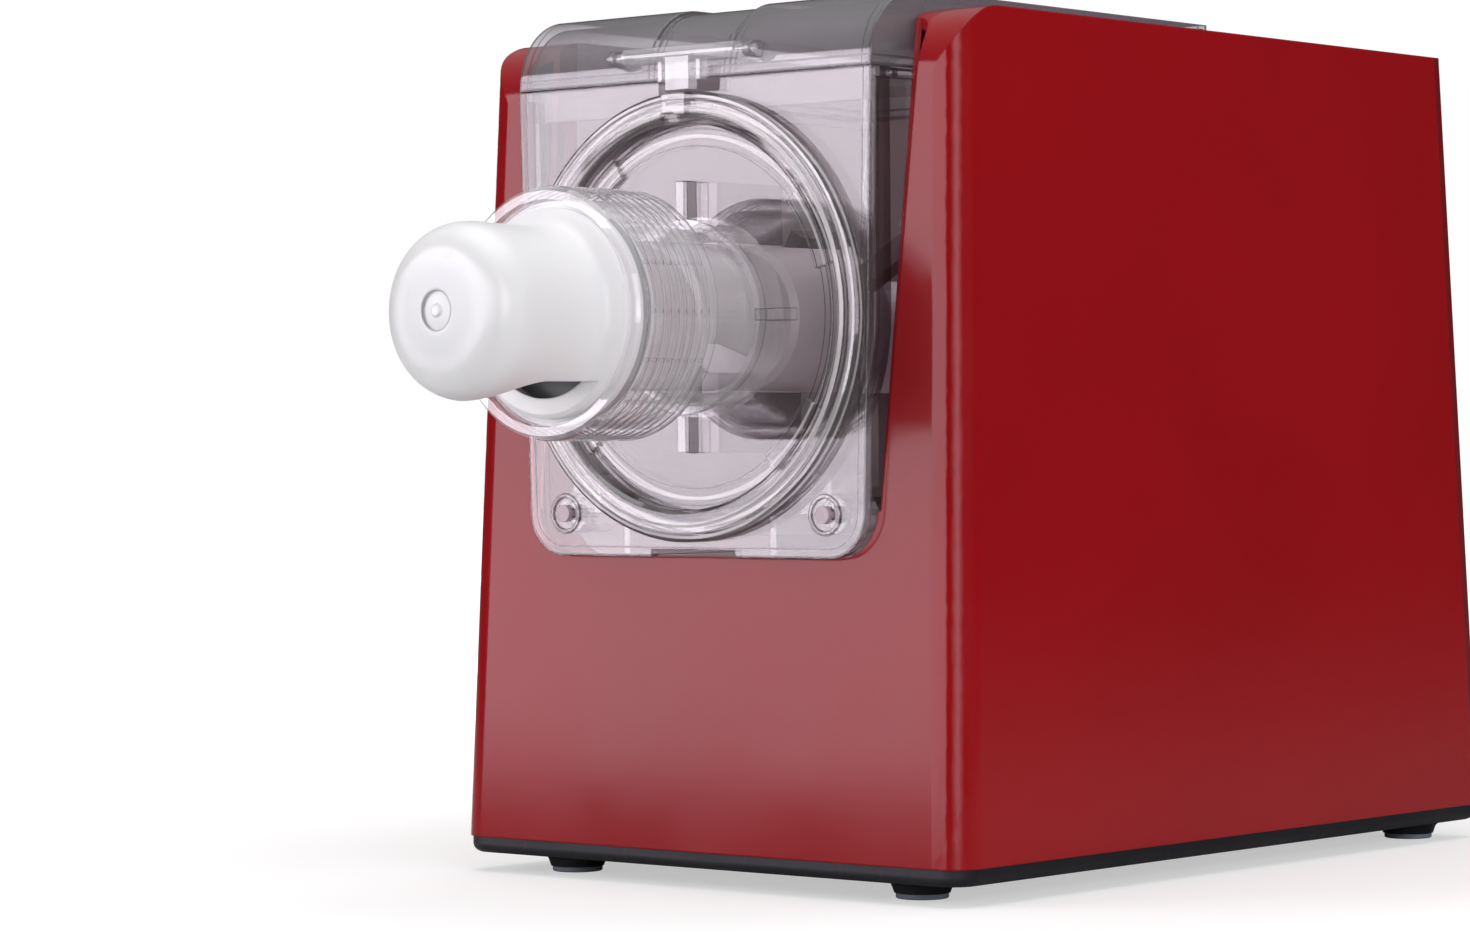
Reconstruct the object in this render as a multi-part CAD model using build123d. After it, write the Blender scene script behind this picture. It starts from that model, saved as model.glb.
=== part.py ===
from build123d import *
import math
import os

os.makedirs("parts", exist_ok=True)

# Electric pasta maker, in millimetres. X runs to the right, Y to the back and Z up.
# It is drawn with z = 0 on the floor and y = 0 at the foot of the painted front, then
# moved along Y so that the origin is under the middle of the whole machine.

# ---- painted housing ----
FOOT_HEIGHT = 12.0
SHELL_WIDTH = 216.0
SHELL_DEPTH = 308.0
SHELL_HEIGHT = 270.0
SIDE_LEAN = 7.0
FRONT_LEAN = 11.6
BACK_LEAN = 13.0
SHELL_WALL = 2.6
FRONT_CORNER_LOW = 11.0
FRONT_CORNER_TOP = 10.0
REAR_CORNER = 1.0
CHEEK_NOSE_RADIUS = 22.0
NOSE_RISE = 0.04
SHELL_TOP = FOOT_HEIGHT + SHELL_HEIGHT
INNER_EDGE_LOW = 1.5
INNER_EDGE_TOP = 10.0

# ---- running and seating clearances ----
SLIDE_GAP = 0.3
RUNNING_GAP = 0.06
HOLE_GAP = 0.1
LOOSE_GAP = 0.5
PARTING_GAP = 0.8

# ---- mixing bowl, its bay and the nozzle axis ----
BOWL_RADIUS = 69.0
BOWL_WALL = 2.5
BOWL_LENGTH = 182.0
BOWL_RISE = 77.0
BAY_SIDE_ROOM = 3.4
BAY_REAR_ROOM = 7.0
BAY_LOW_ROOM = 6.6
BAY_DRAFT = 0.0262
BAY_CORNER = 15.5
BAY_FLOOR = 107.7
BAY_HALF_LOW = BOWL_RADIUS + BAY_SIDE_ROOM
BAY_DEPTH = BOWL_LENGTH + BAY_REAR_ROOM
AXIS_Z = BAY_FLOOR + BAY_LOW_ROOM + BOWL_WALL + BOWL_RADIUS
BOWL_TOP = AXIS_Z + BOWL_RISE
BOWL_PLATE_FRONT = -0.4
BOWL_PLATE_THICK = 3.2
PLATE_CORNER = 14.7
RIM_WIDTH = BAY_HALF_LOW + 2.4
RIM_THICK = 3.0
LIP_HEIGHT = 10.3
LIP_THICK = 2.2
LIP_OVERLAP = 0.5
LATCH_NOTCH_HALF = 13.0
THUMB_NOTCH_HALF = 18.0
THUMB_NOTCH_HEIGHT = 2.3
RAIL_X = 30.0
RAIL_THICK = 3.0
RAIL_SHORT = 6.0
PLATE_BOSS_X = 55.8
PLATE_BOSS_DROP = 63.9
PLATE_BOSS_Z = AXIS_Z - PLATE_BOSS_DROP
PLATE_BOSS_RADIUS = 6.5
BOSS_RIM_WALL = 1.2
BOSS_RIM_PROUD = 0.6
BOSS_ARM = 13.0
BOSS_LENGTH = 16.0
BOSS_HOLE = 12.0

# ---- front disc and nozzle ----
SPIGOT_RADIUS = BOWL_RADIUS - 3.0
OPENING_RADIUS = SPIGOT_RADIUS + LOOSE_GAP
RING_RADIUS = SPIGOT_RADIUS + 7.0
RING_THICK = 5.6
SPIGOT_WALL = 3.4
SPIGOT_TAIL = 3.2
WEB_FRONT = 0.6
WEB_THICK = 2.8
LUG_RADIUS = SPIGOT_RADIUS + 2.3
LUG_ARC = 18.0
LUG_COUNT = 3
LUG_ANGLE = 75.0
LUG_TURN = 30.0
RIB_REACH = 44.0
RIB_THICK = 3.8
CATCH_HALF = 5.0
POCKET_WIDE = 7.0
LAND_WIDE = 8.0
LAND_THICK = 1.6
LAND_ARC = 26.0
LAND_ANGLES = (28, 135, 212, 318)
BARREL_BORE = 24.0
BARREL_NECK = 28.5
BARREL_FLANGE = 31.5
BARREL_COLLAR = 4.0
BARREL_FRONT = 56.0
BARREL_HEAD = 35.6
BARREL_HEAD_LENGTH = 24.0
BARREL_CONE = 5.0
NUT_RADIUS = 40.0
NUT_BORE = 36.0
NUT_REAR = 30.0
NUT_LENGTH = 40.0
NUT_MOUTH = 34.0
NUT_LIP = 4.0
NUT_PITCH = 4.0
NUT_RIDGES = 9
NUT_GROOVES = 16
GROOVE_WIDE = 1.2
RIDGE_DEPTH = 0.9
RIDGE_PITCH = 3.6
THREAD_DEPTH = 1.0
DIE_RADIUS = 34.5
DIE_THICK = 4.0
DIE_HOLE = 1.2
DIE_RINGS = ((6, 6.5), (12, 13.0))
DIE_SEAL_THICK = 2.0
DIE_SEAL_WIDE = 4.5
HOOD_FLANGE = 35.2
HOOD_FLANGE_THICK = 3.0
HOOD_REACH = 118.2

# ---- screw and paddle ----
SCREW_RADIUS = 23.2
SCREW_CORE = 9.0
SCREW_NECK = SCREW_CORE - 0.5
SCREW_PITCH = 26.0
SCREW_SHORT = 4.0
SCREW_REAR = 5.0
FLIGHT_WIDTH = 68.0
HUB_RADIUS = 24.0
HUB_FRONT = 24.0
HUB_REAR = 75.0
HUB_CHAMFER = 2.0
PADDLE_CORE = 11.0
PADDLE_SHORT = 5.0
PADDLE_REAR = BOWL_LENGTH - PADDLE_SHORT
PADDLE_REACH = BOWL_RADIUS - 7.0
PADDLE_BLADE_THICK = 7.0
PADDLE_ARMS = ((58.0, 60), (92.0, 180), (122.0, 300), (150.0, 60))
ARM_THICK = 9.0
BLADE_SINK = 6.0
FRONT_BLADES = ((1, 42.0), (-1, 51.0))
FRONT_BLADE_START = 9.0
FRONT_BLADE_REACH = 44.0
HEX_SOCKET = 6.0
HEX_SHAFT_LENGTH = 14.0
SOCKET_SPARE = 6.0

# ---- lid and latch ----
LID_HALF = BAY_HALF_LOW + 3.1
LID_LOW = BOWL_TOP + SLIDE_GAP + HOLE_GAP
LID_TOP = SHELL_TOP + 6.0
LID_WALL = 2.6
LID_NOSE = 24.0
LID_REAR = BAY_DEPTH - 4.0
HINGE_Y = BAY_DEPTH - 2.0
HINGE_Z = SHELL_TOP + 1.0
HINGE_PIN_RADIUS = 2.0
KNUCKLE_RADIUS = 4.2
LATCH_BAR_Y = -3.8
LATCH_BAR_Z = LID_LOW + 7.8
LATCH_BAR_RADIUS = 2.8
LATCH_BAR_HALF = 24.0
LATCH_PIN_RADIUS = 1.5
LATCH_PIN_HALF = 31.0
LATCH_EAR_WIDE = 3.0
LATCH_EAR_RADIUS = 2.6
LATCH_CHEEK_X = (7.4, 9.0)
CHANNEL_HALF = 17.5

# ---- control panel ----
PANEL_FRONT = BAY_DEPTH + 4.5
PANEL_REAR = SHELL_DEPTH - BACK_LEAN - 3.2
PANEL_HALF = BAY_HALF_LOW + 3.5
PANEL_TOP = SHELL_TOP + 2.0
PANEL_WALL = 2.4
PANEL_EDGE = 1.6
WINDOW_LONG = 60.0
WINDOW_WIDE = 26.0
WINDOW_THICK = 1.4
WINDOW_LEDGE = 3.0
WINDOW_Y = PANEL_FRONT + WINDOW_WIDE / 2 + 10.0
BUTTON_RADIUS = 7.5
BUTTON_TRAVEL = 1.5
BUTTON_XS = {"power": -48.0, "start": -16.0, "less": 16.0, "more": 48.0}
BUTTON_Y = PANEL_REAR - 18.0
BUTTON_PROUD = 1.8
BUTTON_EDGE = 0.8
BUTTON_FLANGE = 1.6
BUTTON_FLANGE_WIDE = 2.0
STEM_RADIUS = 2.0
SWITCH_SIDE = 6.0
SWITCH_HEIGHT = 5.0
BOARD_DROP = 22.0
BOARD_THICK = 1.6
BOARD_Z = PANEL_TOP - BOARD_DROP
BOARD_MARGIN = 4.0
BOARD_HALF = PANEL_HALF - 7.9
BOARD_POST_X = 60.0
BOARD_POST_RADIUS = 4.0
BOARD_POST_YS = (PANEL_FRONT + 12.0, PANEL_REAR - 8.0)
DISPLAY_SIDE = 4.0

# ---- drive ----
OUTPUT_TEETH = 42
PINION_TEETH = 14
OUTPUT_MODULE = 2.0
INPUT_MODULE = 1.5
PRESSURE_ANGLE = 25.0
ADDENDUM = 0.8
DEDENDUM = 1.15
BACKLASH = 0.25
COMPOUND_ANGLE = 30.0
BACK_PLATE_THICK = 2.6
CASE_WALL = 3.5
CASE_SPAN = 40.0
CASE_LID = 4.0
CASE_CLEAR = 2.5
CASE_FRONT = BAY_DEPTH + BACK_PLATE_THICK
CASE_INNER = CASE_FRONT + CASE_WALL
CASE_BACK = CASE_INNER + CASE_SPAN
SLOW_GEAR = (CASE_INNER + 12.0, CASE_INNER + 26.0)
FAST_GEAR = (CASE_INNER + 28.0, CASE_INNER + 38.0)
EAR_RADIUS = 5.0
EAR_HOLE = 16.0
SMALL_PULLEY = 12.0
LARGE_PULLEY = 32.0
PULLEY_FLANGE = 3.0
PULLEY_CHEEK = 2.0
BELT_REACH = 21.9
BELT_Y = CASE_BACK + BELT_REACH
BELT_WIDTH = 10.0
BELT_THICK = 2.0
SHAFT_PAST_BELT = 5.0
MOTOR_X = 48.0
MOTOR_Z = 61.0
MOTOR_RADIUS = 38.0
MOTOR_LENGTH = 96.0
MOTOR_TO_BELT = 25.0
MOTOR_REAR = BELT_Y - MOTOR_TO_BELT
MOTOR_FRONT = MOTOR_REAR - MOTOR_LENGTH
OUTPUT_SHAFT = 8.0
INPUT_SHAFT = 5.0
COMPOUND_PIN = 4.0
BEARING_WIDTH = 8.0
OUTPUT_BEARING = 14.0
INPUT_BEARING = 10.0

# ---- floor side ----
BASE_BAND = 5.5
BASE_INSET = 0.8
BASE_FLOOR = 2.8
FRONT_FOOT_IN = (33.5, 24.0)
REAR_FOOT_IN = (20.0, 16.0)
FOOT_PLACES = [
    (sign * (SHELL_WIDTH / 2 - FRONT_FOOT_IN[0]), FRONT_FOOT_IN[1]) for sign in (-1, 1)
] + [
    (sign * (SHELL_WIDTH / 2 - REAR_FOOT_IN[0]), SHELL_DEPTH - REAR_FOOT_IN[1]) for sign in (-1, 1)
]
FOOT_RADIUS = 12.0
FOOT_TAPER = 2.0
PAD_RADIUS = 8.5
PAD_THICK = 1.8

# the whole machine reaches from the tip of the hood to the rear cover
COVER_PROUD = 1.0
ROW_SHIFT = (HOOD_REACH - SHELL_DEPTH - COVER_PROUD) / 2

nodes = {}


def block(x, y, z):
    """A box between two corners, each given as a (low, high) pair."""
    centre = ((x[0] + x[1]) / 2, (y[0] + y[1]) / 2, (z[0] + z[1]) / 2)
    return Pos(*centre) * Box(x[1] - x[0], y[1] - y[0], z[1] - z[0])


def rod(x, z, radius, y):
    """A cylinder along Y, between two depths."""
    return Pos(x, (y[0] + y[1]) / 2, z) * Rot(90, 0, 0) * Cylinder(radius, abs(y[1] - y[0]))


def tube(x, z, outer, inner, y):
    return rod(x, z, outer, y) - rod(x, z, inner, (min(y) - 1, max(y) + 1))


def post(x, y, radius, z):
    """A cylinder along Z, between two heights."""
    return Pos(x, y, (z[0] + z[1]) / 2) * Cylinder(radius, z[1] - z[0])


def bar(x, radius, y, z):
    """A cylinder along X, between two places on that axis."""
    return Pos((x[0] + x[1]) / 2, y, z) * Rot(0, 90, 0) * Cylinder(radius, x[1] - x[0])


def side_profile(points, x):
    """A closed outline of (y, z) points, carried along X between two places."""
    outline = make_face(Polyline([(x[0], y, z) for y, z in points], close=True))
    return extrude(outline, amount=x[1] - x[0], dir=(1, 0, 0))


def front_profile(points, y):
    """A closed outline of (x, z) points, carried along Y between two depths."""
    outline = make_face(Polyline([(px, y[0], pz) for px, pz in points], close=True))
    return extrude(outline, amount=y[1] - y[0], dir=(0, 1, 0))


def turned(profile, x=0.0, z=AXIS_Z):
    """Turns a closed outline of (radius, y) points about an axis along Y."""
    outline = make_face(Polyline([(r, y, 0) for r, y in profile], close=True))
    return Pos(x, 0, z) * revolve(outline, Axis.Y)


def around(part, angle, x=0.0, z=AXIS_Z):
    """The same part, swung about an axis along Y."""
    return Pos(x, 0, z) * Rot(0, angle, 0) * Pos(-x, 0, -z) * part


def joined(pieces):
    whole = pieces[0]
    for piece in pieces[1:]:
        whole = whole + piece
    return whole


def up_share(z):
    """How far up the painted housing a height is, from 0 to 1."""
    return (z - FOOT_HEIGHT) / SHELL_HEIGHT


def side_at(z):
    return SHELL_WIDTH / 2 - SIDE_LEAN * up_share(z)


def front_at(z):
    return FRONT_LEAN * up_share(z)


def back_at(z):
    return SHELL_DEPTH - BACK_LEAN * up_share(z)


def bay_half_at(z):
    return BAY_HALF_LOW + BAY_DRAFT * (z - BAY_FLOOR)


def housing_section(z, inset=0.0, past_back=0.0):
    """The housing's outline at one height, drawn in by an inset."""
    corner = FRONT_CORNER_LOW + (FRONT_CORNER_TOP - FRONT_CORNER_LOW) * up_share(z) - inset
    front = front_at(z) + inset
    back = back_at(z) - inset + past_back
    half = side_at(z) - inset
    outline = Pos(0, (front + back) / 2, z) * Rectangle(2 * half, back - front)
    front_corners = outline.vertices().sort_by(Axis.Y)[:2]
    outline = fillet(front_corners, corner)
    rear_corners = outline.vertices().sort_by(Axis.Y)[-2:]
    return fillet(rear_corners, REAR_CORNER)


def nose_profile(inset, low, top):
    """Side view that rounds the housing's top front corner."""
    reach = SHELL_DEPTH + CHEEK_NOSE_RADIUS
    high = top - inset + NOSE_RISE
    corners = [
        (0, front_at(low) + inset, low),
        (0, reach, low),
        (0, reach, high),
        (0, front_at(high) + inset, high),
    ]
    outline = make_face(Polyline(corners, close=True))
    corner = outline.vertices().sort_by(Axis.Z)[-2:].sort_by(Axis.Y)[0]
    outline = fillet(corner, CHEEK_NOSE_RADIUS - inset)
    return extrude(outline, amount=SHELL_WIDTH, dir=(1, 0, 0), both=True)


def housing_solid(inset, low, past_back=0.0):
    """The leaning housing as one solid, from a height up to its top."""
    sections = [
        housing_section(low, inset, past_back),
        housing_section(SHELL_TOP - inset, inset, past_back),
    ]
    return loft(sections, ruled=True) & nose_profile(inset, low, SHELL_TOP)


def bay_solid(grow, y, top):
    """The space for the bowl: drafted sides, round lower corners, open at the front."""
    floor = BAY_FLOOR - grow
    outline = make_face(
        Polyline(
            [
                (-bay_half_at(floor) - grow, y[0], floor),
                (bay_half_at(floor) + grow, y[0], floor),
                (bay_half_at(top) + grow, y[0], top),
                (-bay_half_at(top) - grow, y[0], top),
            ],
            close=True,
        )
    )
    outline = fillet(outline.vertices().sort_by(Axis.Z)[:2], BAY_CORNER + grow)
    return extrude(outline, amount=y[1] - y[0], dir=(0, 1, 0))


def edge_cutter(z, radius):
    """Section of the cut that rounds a cheek's inner front edge, on the right side."""
    inner = bay_half_at(z)
    front = front_at(z)
    spare = HOLE_GAP
    outline = (
        Polyline((inner, front + radius, z), (inner - spare, front + radius, z),
                 (inner - spare, front - spare, z), (inner + radius, front - spare, z),
                 (inner + radius, front, z))
        + RadiusArc((inner + radius, front, z), (inner, front + radius, z), -radius)
    )
    return make_face(outline)


COVER_SEAT = 3.0
SHELL_POST_X = SHELL_WIDTH / 2 - 7.0
SHELL_POST_Y = [30.0, SHELL_DEPTH - 28.0]
SHELL_POST_RADIUS = 5.5
SHELL_POST_HEIGHT = 20.0
SCREW_HOLE = 1.5
REAR_POST_LENGTH = 24.0
REAR_POST_X = SHELL_WIDTH / 2 - 18.0
REAR_POST_Z = [FOOT_HEIGHT + 32.0, SHELL_TOP - 20.0]
PANEL_FLANGE = 4.0
PANEL_FLANGE_THICK = 3.0


def make_shell():
    outer = housing_solid(0.0, FOOT_HEIGHT)
    cavity = housing_solid(SHELL_WALL, FOOT_HEIGHT, past_back=SHELL_WALL * 4)
    bay_skin = bay_solid(SHELL_WALL, (-SHELL_WALL, BAY_DEPTH), SHELL_TOP + SHELL_WALL)
    bay = bay_solid(0.0, (-SHELL_WIDTH, BAY_DEPTH + SHELL_WALL), SHELL_TOP + SHELL_WIDTH)
    posts = []
    for sign in (-1, 1):
        for y in SHELL_POST_Y:
            low = FOOT_HEIGHT + SLIDE_GAP
            posts.append(post(sign * SHELL_POST_X, y, SHELL_POST_RADIUS, (low, low + SHELL_POST_HEIGHT)))
        for z in REAR_POST_Z:
            back = back_at(z) - COVER_SEAT
            x = sign * REAR_POST_X
            posts.append(rod(x, z, SHELL_POST_RADIUS, (back - REAR_POST_LENGTH, back)))
            web = (x, sign * (side_at(z) - SHELL_WALL / 2))
            posts.append(
                block(sorted(web), (back - REAR_POST_LENGTH, back - SHELL_WALL),
                      (z - SHELL_WALL / 2, z + SHELL_WALL / 2))
            )
    skin = outer - (cavity - bay_skin) - bay
    shell = joined([skin] + [piece & outer for piece in posts])
    panel_hole = block(
        (-PANEL_HALF - HOLE_GAP, PANEL_HALF + HOLE_GAP),
        (BAY_DEPTH - SHELL_WALL, PANEL_REAR + HOLE_GAP),
        (SHELL_TOP - SHELL_WALL * 2, SHELL_TOP + SHELL_WALL),
    )
    cover_space = rear_slab(-COVER_SEAT, SHELL_WIDTH)
    shell = shell - panel_hole - cover_space
    low, high = BAY_FLOOR + BAY_CORNER, SHELL_TOP + LOOSE_GAP
    cutter = loft([edge_cutter(low, INNER_EDGE_LOW), edge_cutter(high, INNER_EDGE_TOP)], ruled=True)
    shell = shell - cutter - mirror(cutter, about=Plane.YZ)
    for sign in (-1, 1):
        for y in SHELL_POST_Y:
            top = FOOT_HEIGHT + SHELL_POST_HEIGHT - SHELL_WALL
            shell = shell - post(sign * SHELL_POST_X, y, SCREW_HOLE, (0, top))
        for z in REAR_POST_Z:
            back = back_at(z)
            hole = (back - REAR_POST_LENGTH + SHELL_WALL, back)
            shell = shell - rod(sign * REAR_POST_X, z, SCREW_HOLE, hole)
    return shell


def rear_slab(front, back):
    """A slab that leans with the rear face; front and back are measured from that face."""
    low, high = 0.0, SHELL_TOP + SHELL_WALL
    corners = [
        (back_at(low) + front, low),
        (back_at(low) + back, low),
        (back_at(high) + back, high),
        (back_at(high) + front, high),
    ]
    return side_profile(corners, (-SHELL_WIDTH, SHELL_WIDTH))


nodes["body_shell"] = make_shell()


# ---- base, feet and rear cover ----
BASE_TOP = FOOT_HEIGHT
BASE_LOW = BASE_TOP - BASE_BAND
BASE_TONGUE = 5.0
BASE_TONGUE_WALL = 2.0
BASE_EDGE = 3.0
STUD_RADIUS = 4.0
HEAD_RADIUS = 2.8
HOUSING_SCREW = 16.0
BOARD_SCREW = 7.0
HEAD_THICK = 1.8
SHANK_RADIUS = 1.4
VENT_LENGTH = 26.0
VENT_WIDTH = 3.0
VENT_PITCH = 7.0
BASE_VENT_ROWS = 8
BASE_VENT_START = SHELL_DEPTH - 112.0
COVER_VENT_ROWS = 12
COVER_VENT_LOW = FOOT_HEIGHT + 58.0
COVER_VENT_X = SHELL_WIDTH / 2 - 56.0
STUD_SHORT = 1.0
THROUGH_REAR = (SHELL_DEPTH / 2, SHELL_DEPTH * 2)
GLAND_X = 36.0 - SHELL_WIDTH / 2
GLAND_Z = FOOT_HEIGHT + 28.0
GLAND_RADIUS = 8.0
GLAND_BORE = 3.6
GLAND_FLANGE = 3.0
GLAND_FLANGE_THICK = 2.0
GLAND_SEAT = 1.5
GLAND_LENGTH = 8.0


def base_section(z, inset):
    """The base follows the foot of the housing, whatever the height."""
    return Pos(0, 0, z - FOOT_HEIGHT) * housing_section(FOOT_HEIGHT, inset)


def make_base():
    slab = extrude(base_section(BASE_LOW, BASE_INSET), amount=BASE_BAND)
    slab = fillet(slab.faces().sort_by(Axis.Z)[0].edges(), BASE_EDGE)
    tongue_inset = SHELL_WALL + LOOSE_GAP
    tongue = extrude(base_section(BASE_LOW, tongue_inset), amount=BASE_BAND + BASE_TONGUE)
    pocket_inset = tongue_inset + BASE_TONGUE_WALL
    pocket = extrude(base_section(BASE_LOW + BASE_FLOOR, pocket_inset), amount=SHELL_HEIGHT)
    base = slab + tongue - pocket
    for sign in (-1, 1):
        for y in SHELL_POST_Y:
            x = sign * SHELL_POST_X
            boss_z = (BASE_LOW + BASE_FLOOR - HOLE_GAP, FOOT_HEIGHT)
            base = base + post(x - sign, y, SHELL_POST_RADIUS - STUD_SHORT, boss_z)
            base = base - post(x, y, SHELL_POST_RADIUS + LOOSE_GAP, (FOOT_HEIGHT, SHELL_TOP))
            base = base - post(x, y, SCREW_HOLE + HOLE_GAP, (0, FOOT_HEIGHT + SLIDE_GAP))
            base = base - post(x, y, HEAD_RADIUS + HOLE_GAP, (0, BASE_LOW + HEAD_THICK))
    for x, y in FOOT_PLACES:
        base = base - post(x, y, STUD_RADIUS + HOLE_GAP, (0, FOOT_HEIGHT))
    for row in range(BASE_VENT_ROWS):
        y = BASE_VENT_START + row * VENT_PITCH
        base = base - block((-VENT_LENGTH, -STUD_SHORT), (y, y + VENT_WIDTH), (0, FOOT_HEIGHT))
    cover_step = rear_slab(-COVER_SEAT, SHELL_WIDTH) & block(
        (-SHELL_WIDTH, SHELL_WIDTH), (0, SHELL_DEPTH * 2), (FOOT_HEIGHT, SHELL_TOP)
    )
    return base - cover_step


def make_foot(x, y):
    """A rubber boot with a stud in the base and a hole for the stem of its pad."""
    stud_top = BASE_LOW + BASE_FLOOR
    profile = Polyline(
        (0, PAD_THICK), (FOOT_RADIUS - FOOT_TAPER - STUD_SHORT, PAD_THICK),
        (FOOT_RADIUS - FOOT_TAPER, BASE_LOW - FOOT_TAPER), (FOOT_RADIUS, BASE_LOW), (STUD_RADIUS, BASE_LOW),
        (STUD_RADIUS, stud_top), (0, stud_top), close=True,
    )
    boot = revolve(make_face(Plane.XZ * profile), Axis.Z)
    boot = boot - post(0, 0, STUD_RADIUS / 2 + HOLE_GAP, (0, BASE_LOW - STUD_SHORT))
    return Pos(x, y, 0) * boot


def make_pad(x, y):
    pad = post(x, y, PAD_RADIUS, (0, PAD_THICK))
    pad = fillet(pad.edges().sort_by(Axis.Z)[0], PAD_THICK / 3)
    return pad + post(x, y, STUD_RADIUS / 2, (PAD_THICK, BASE_LOW - STUD_SHORT - HOLE_GAP))


def make_rear_cover():
    outline_low = housing_section(FOOT_HEIGHT, 0, COVER_PROUD)
    outline_top = housing_section(SHELL_TOP, 0, COVER_PROUD)
    cover = loft([outline_low, outline_top], ruled=True) & rear_slab(-COVER_SEAT, COVER_PROUD)
    for side in (-1, 1):
        slot = (side * COVER_VENT_X - VENT_LENGTH / 2, side * COVER_VENT_X + VENT_LENGTH / 2)
        for row in range(COVER_VENT_ROWS):
            z = COVER_VENT_LOW + row * VENT_PITCH
            cover = cover - block(slot, THROUGH_REAR, (z, z + VENT_WIDTH))
        for z in REAR_POST_Z:
            cover = cover - rod(side * REAR_POST_X, z, SCREW_HOLE + HOLE_GAP, THROUGH_REAR)
            head = (back_at(z) + COVER_PROUD - HEAD_THICK, SHELL_DEPTH * 2)
            cover = cover - rod(side * REAR_POST_X, z, HEAD_RADIUS + HOLE_GAP, head)
    return cover - rod(GLAND_X, GLAND_Z, GLAND_RADIUS + HOLE_GAP, THROUGH_REAR)


def make_gland():
    """A bushing in the rear cover, with a collar behind it and a bore for the cord."""
    back = back_at(GLAND_Z)
    inner = back - COVER_SEAT - GLAND_SEAT
    gland = rod(GLAND_X, GLAND_Z, GLAND_RADIUS, (inner - GLAND_LENGTH, back + COVER_PROUD))
    collar = (inner - GLAND_FLANGE_THICK, inner)
    gland = gland + rod(GLAND_X, GLAND_Z, GLAND_RADIUS + GLAND_FLANGE, collar)
    return gland - rod(GLAND_X, GLAND_Z, GLAND_BORE, (0, SHELL_DEPTH * 2))


def screw(length):
    """A pan-head screw that points up, its head's seat at z = 0."""
    return post(0, 0, SHANK_RADIUS, (0, length)) + post(0, 0, HEAD_RADIUS, (-HEAD_THICK + HOLE_GAP, 0))


nodes["base_plate"] = make_base()
nodes["feet"] = Compound(children=[make_foot(x, y) for x, y in FOOT_PLACES])
nodes["foot_pads"] = Compound(children=[make_pad(x, y) for x, y in FOOT_PLACES])
nodes["rear_cover"] = make_rear_cover()
nodes["cord_gland"] = make_gland()
base_screws = [
    Pos(sign * SHELL_POST_X, y, BASE_LOW + HEAD_THICK) * screw(HOUSING_SCREW)
    for sign in (-1, 1) for y in SHELL_POST_Y
]
cover_screws = [
    Pos(sign * REAR_POST_X, back_at(z) + COVER_PROUD - HEAD_THICK, z) * Rot(90, 0, 0) * screw(HOUSING_SCREW)
    for sign in (-1, 1) for z in REAR_POST_Z
]
nodes["housing_screws"] = Compound(children=base_screws + cover_screws)

# ---- mixing bowl ----
PLATE_BACK = BOWL_PLATE_FRONT + BOWL_PLATE_THICK
PLATE_LOW = BAY_FLOOR + SLIDE_GAP
THROUGH_PLATE = (BOWL_PLATE_FRONT - BOWL_PLATE_THICK * 2, PLATE_BACK + BOWL_PLATE_THICK * 2)
BUSH_RADIUS = 16.0
BUSH_WALL = 3.0
BUSH_LENGTH = 10.0
FULL_TURN = 360.0


def sector(width, middle, radius):
    """A wedge about the nozzle axis, as wide as an angle, its middle at another from +X."""
    low, high = middle - width / 2, middle + width / 2
    far = radius * 2
    points = [(0, AXIS_Z)]
    for angle in (low, (low + high) / 2, high):
        turn = math.radians(angle)
        points.append((far * math.cos(turn), AXIS_Z + far * math.sin(turn)))
    return front_profile(points, (-radius, radius))


def make_bowl_front():
    top_half = bay_half_at(BOWL_TOP) - PARTING_GAP
    low_half = bay_half_at(PLATE_LOW) - PARTING_GAP
    corners = [(-low_half, PLATE_LOW), (low_half, PLATE_LOW), (top_half, BOWL_TOP), (-top_half, BOWL_TOP)]
    outline = make_face(Polyline([(x, BOWL_PLATE_FRONT, z) for x, z in corners], close=True))
    outline = fillet(outline.vertices().sort_by(Axis.Z)[:2], PLATE_CORNER)
    plate = extrude(outline, amount=BOWL_PLATE_THICK, dir=(0, 1, 0))
    plate = plate - rod(0, AXIS_Z, OPENING_RADIUS, THROUGH_PLATE)
    latch_notch = (AXIS_Z + RING_RADIUS, BOWL_TOP + LOOSE_GAP)
    plate = plate - block((-LATCH_NOTCH_HALF, LATCH_NOTCH_HALF), THROUGH_PLATE, latch_notch)
    thumb_notch = (0, PLATE_LOW + THUMB_NOTCH_HEIGHT)
    plate = plate - block((-THUMB_NOTCH_HALF, THUMB_NOTCH_HALF), THROUGH_PLATE, thumb_notch)
    notch = rod(0, AXIS_Z, LUG_RADIUS + LOOSE_GAP, THROUGH_PLATE)
    notch = notch & sector(LUG_ARC + LUG_TURN / 8, LUG_ANGLE - LUG_TURN, RING_RADIUS)
    for turn in range(LUG_COUNT):
        plate = plate - around(notch, turn * FULL_TURN / LUG_COUNT)
    rim_y = (BOWL_PLATE_FRONT - BOSS_RIM_PROUD, BOWL_PLATE_FRONT + HOLE_GAP)
    for sign in (-1, 1):
        x = sign * PLATE_BOSS_X
        plate = plate + tube(x, PLATE_BOSS_Z, PLATE_BOSS_RADIUS, PLATE_BOSS_RADIUS - BOSS_RIM_WALL, rim_y)
        plate = plate - rod(x, PLATE_BOSS_Z, SCREW_HOLE, THROUGH_PLATE)
    return plate


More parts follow.
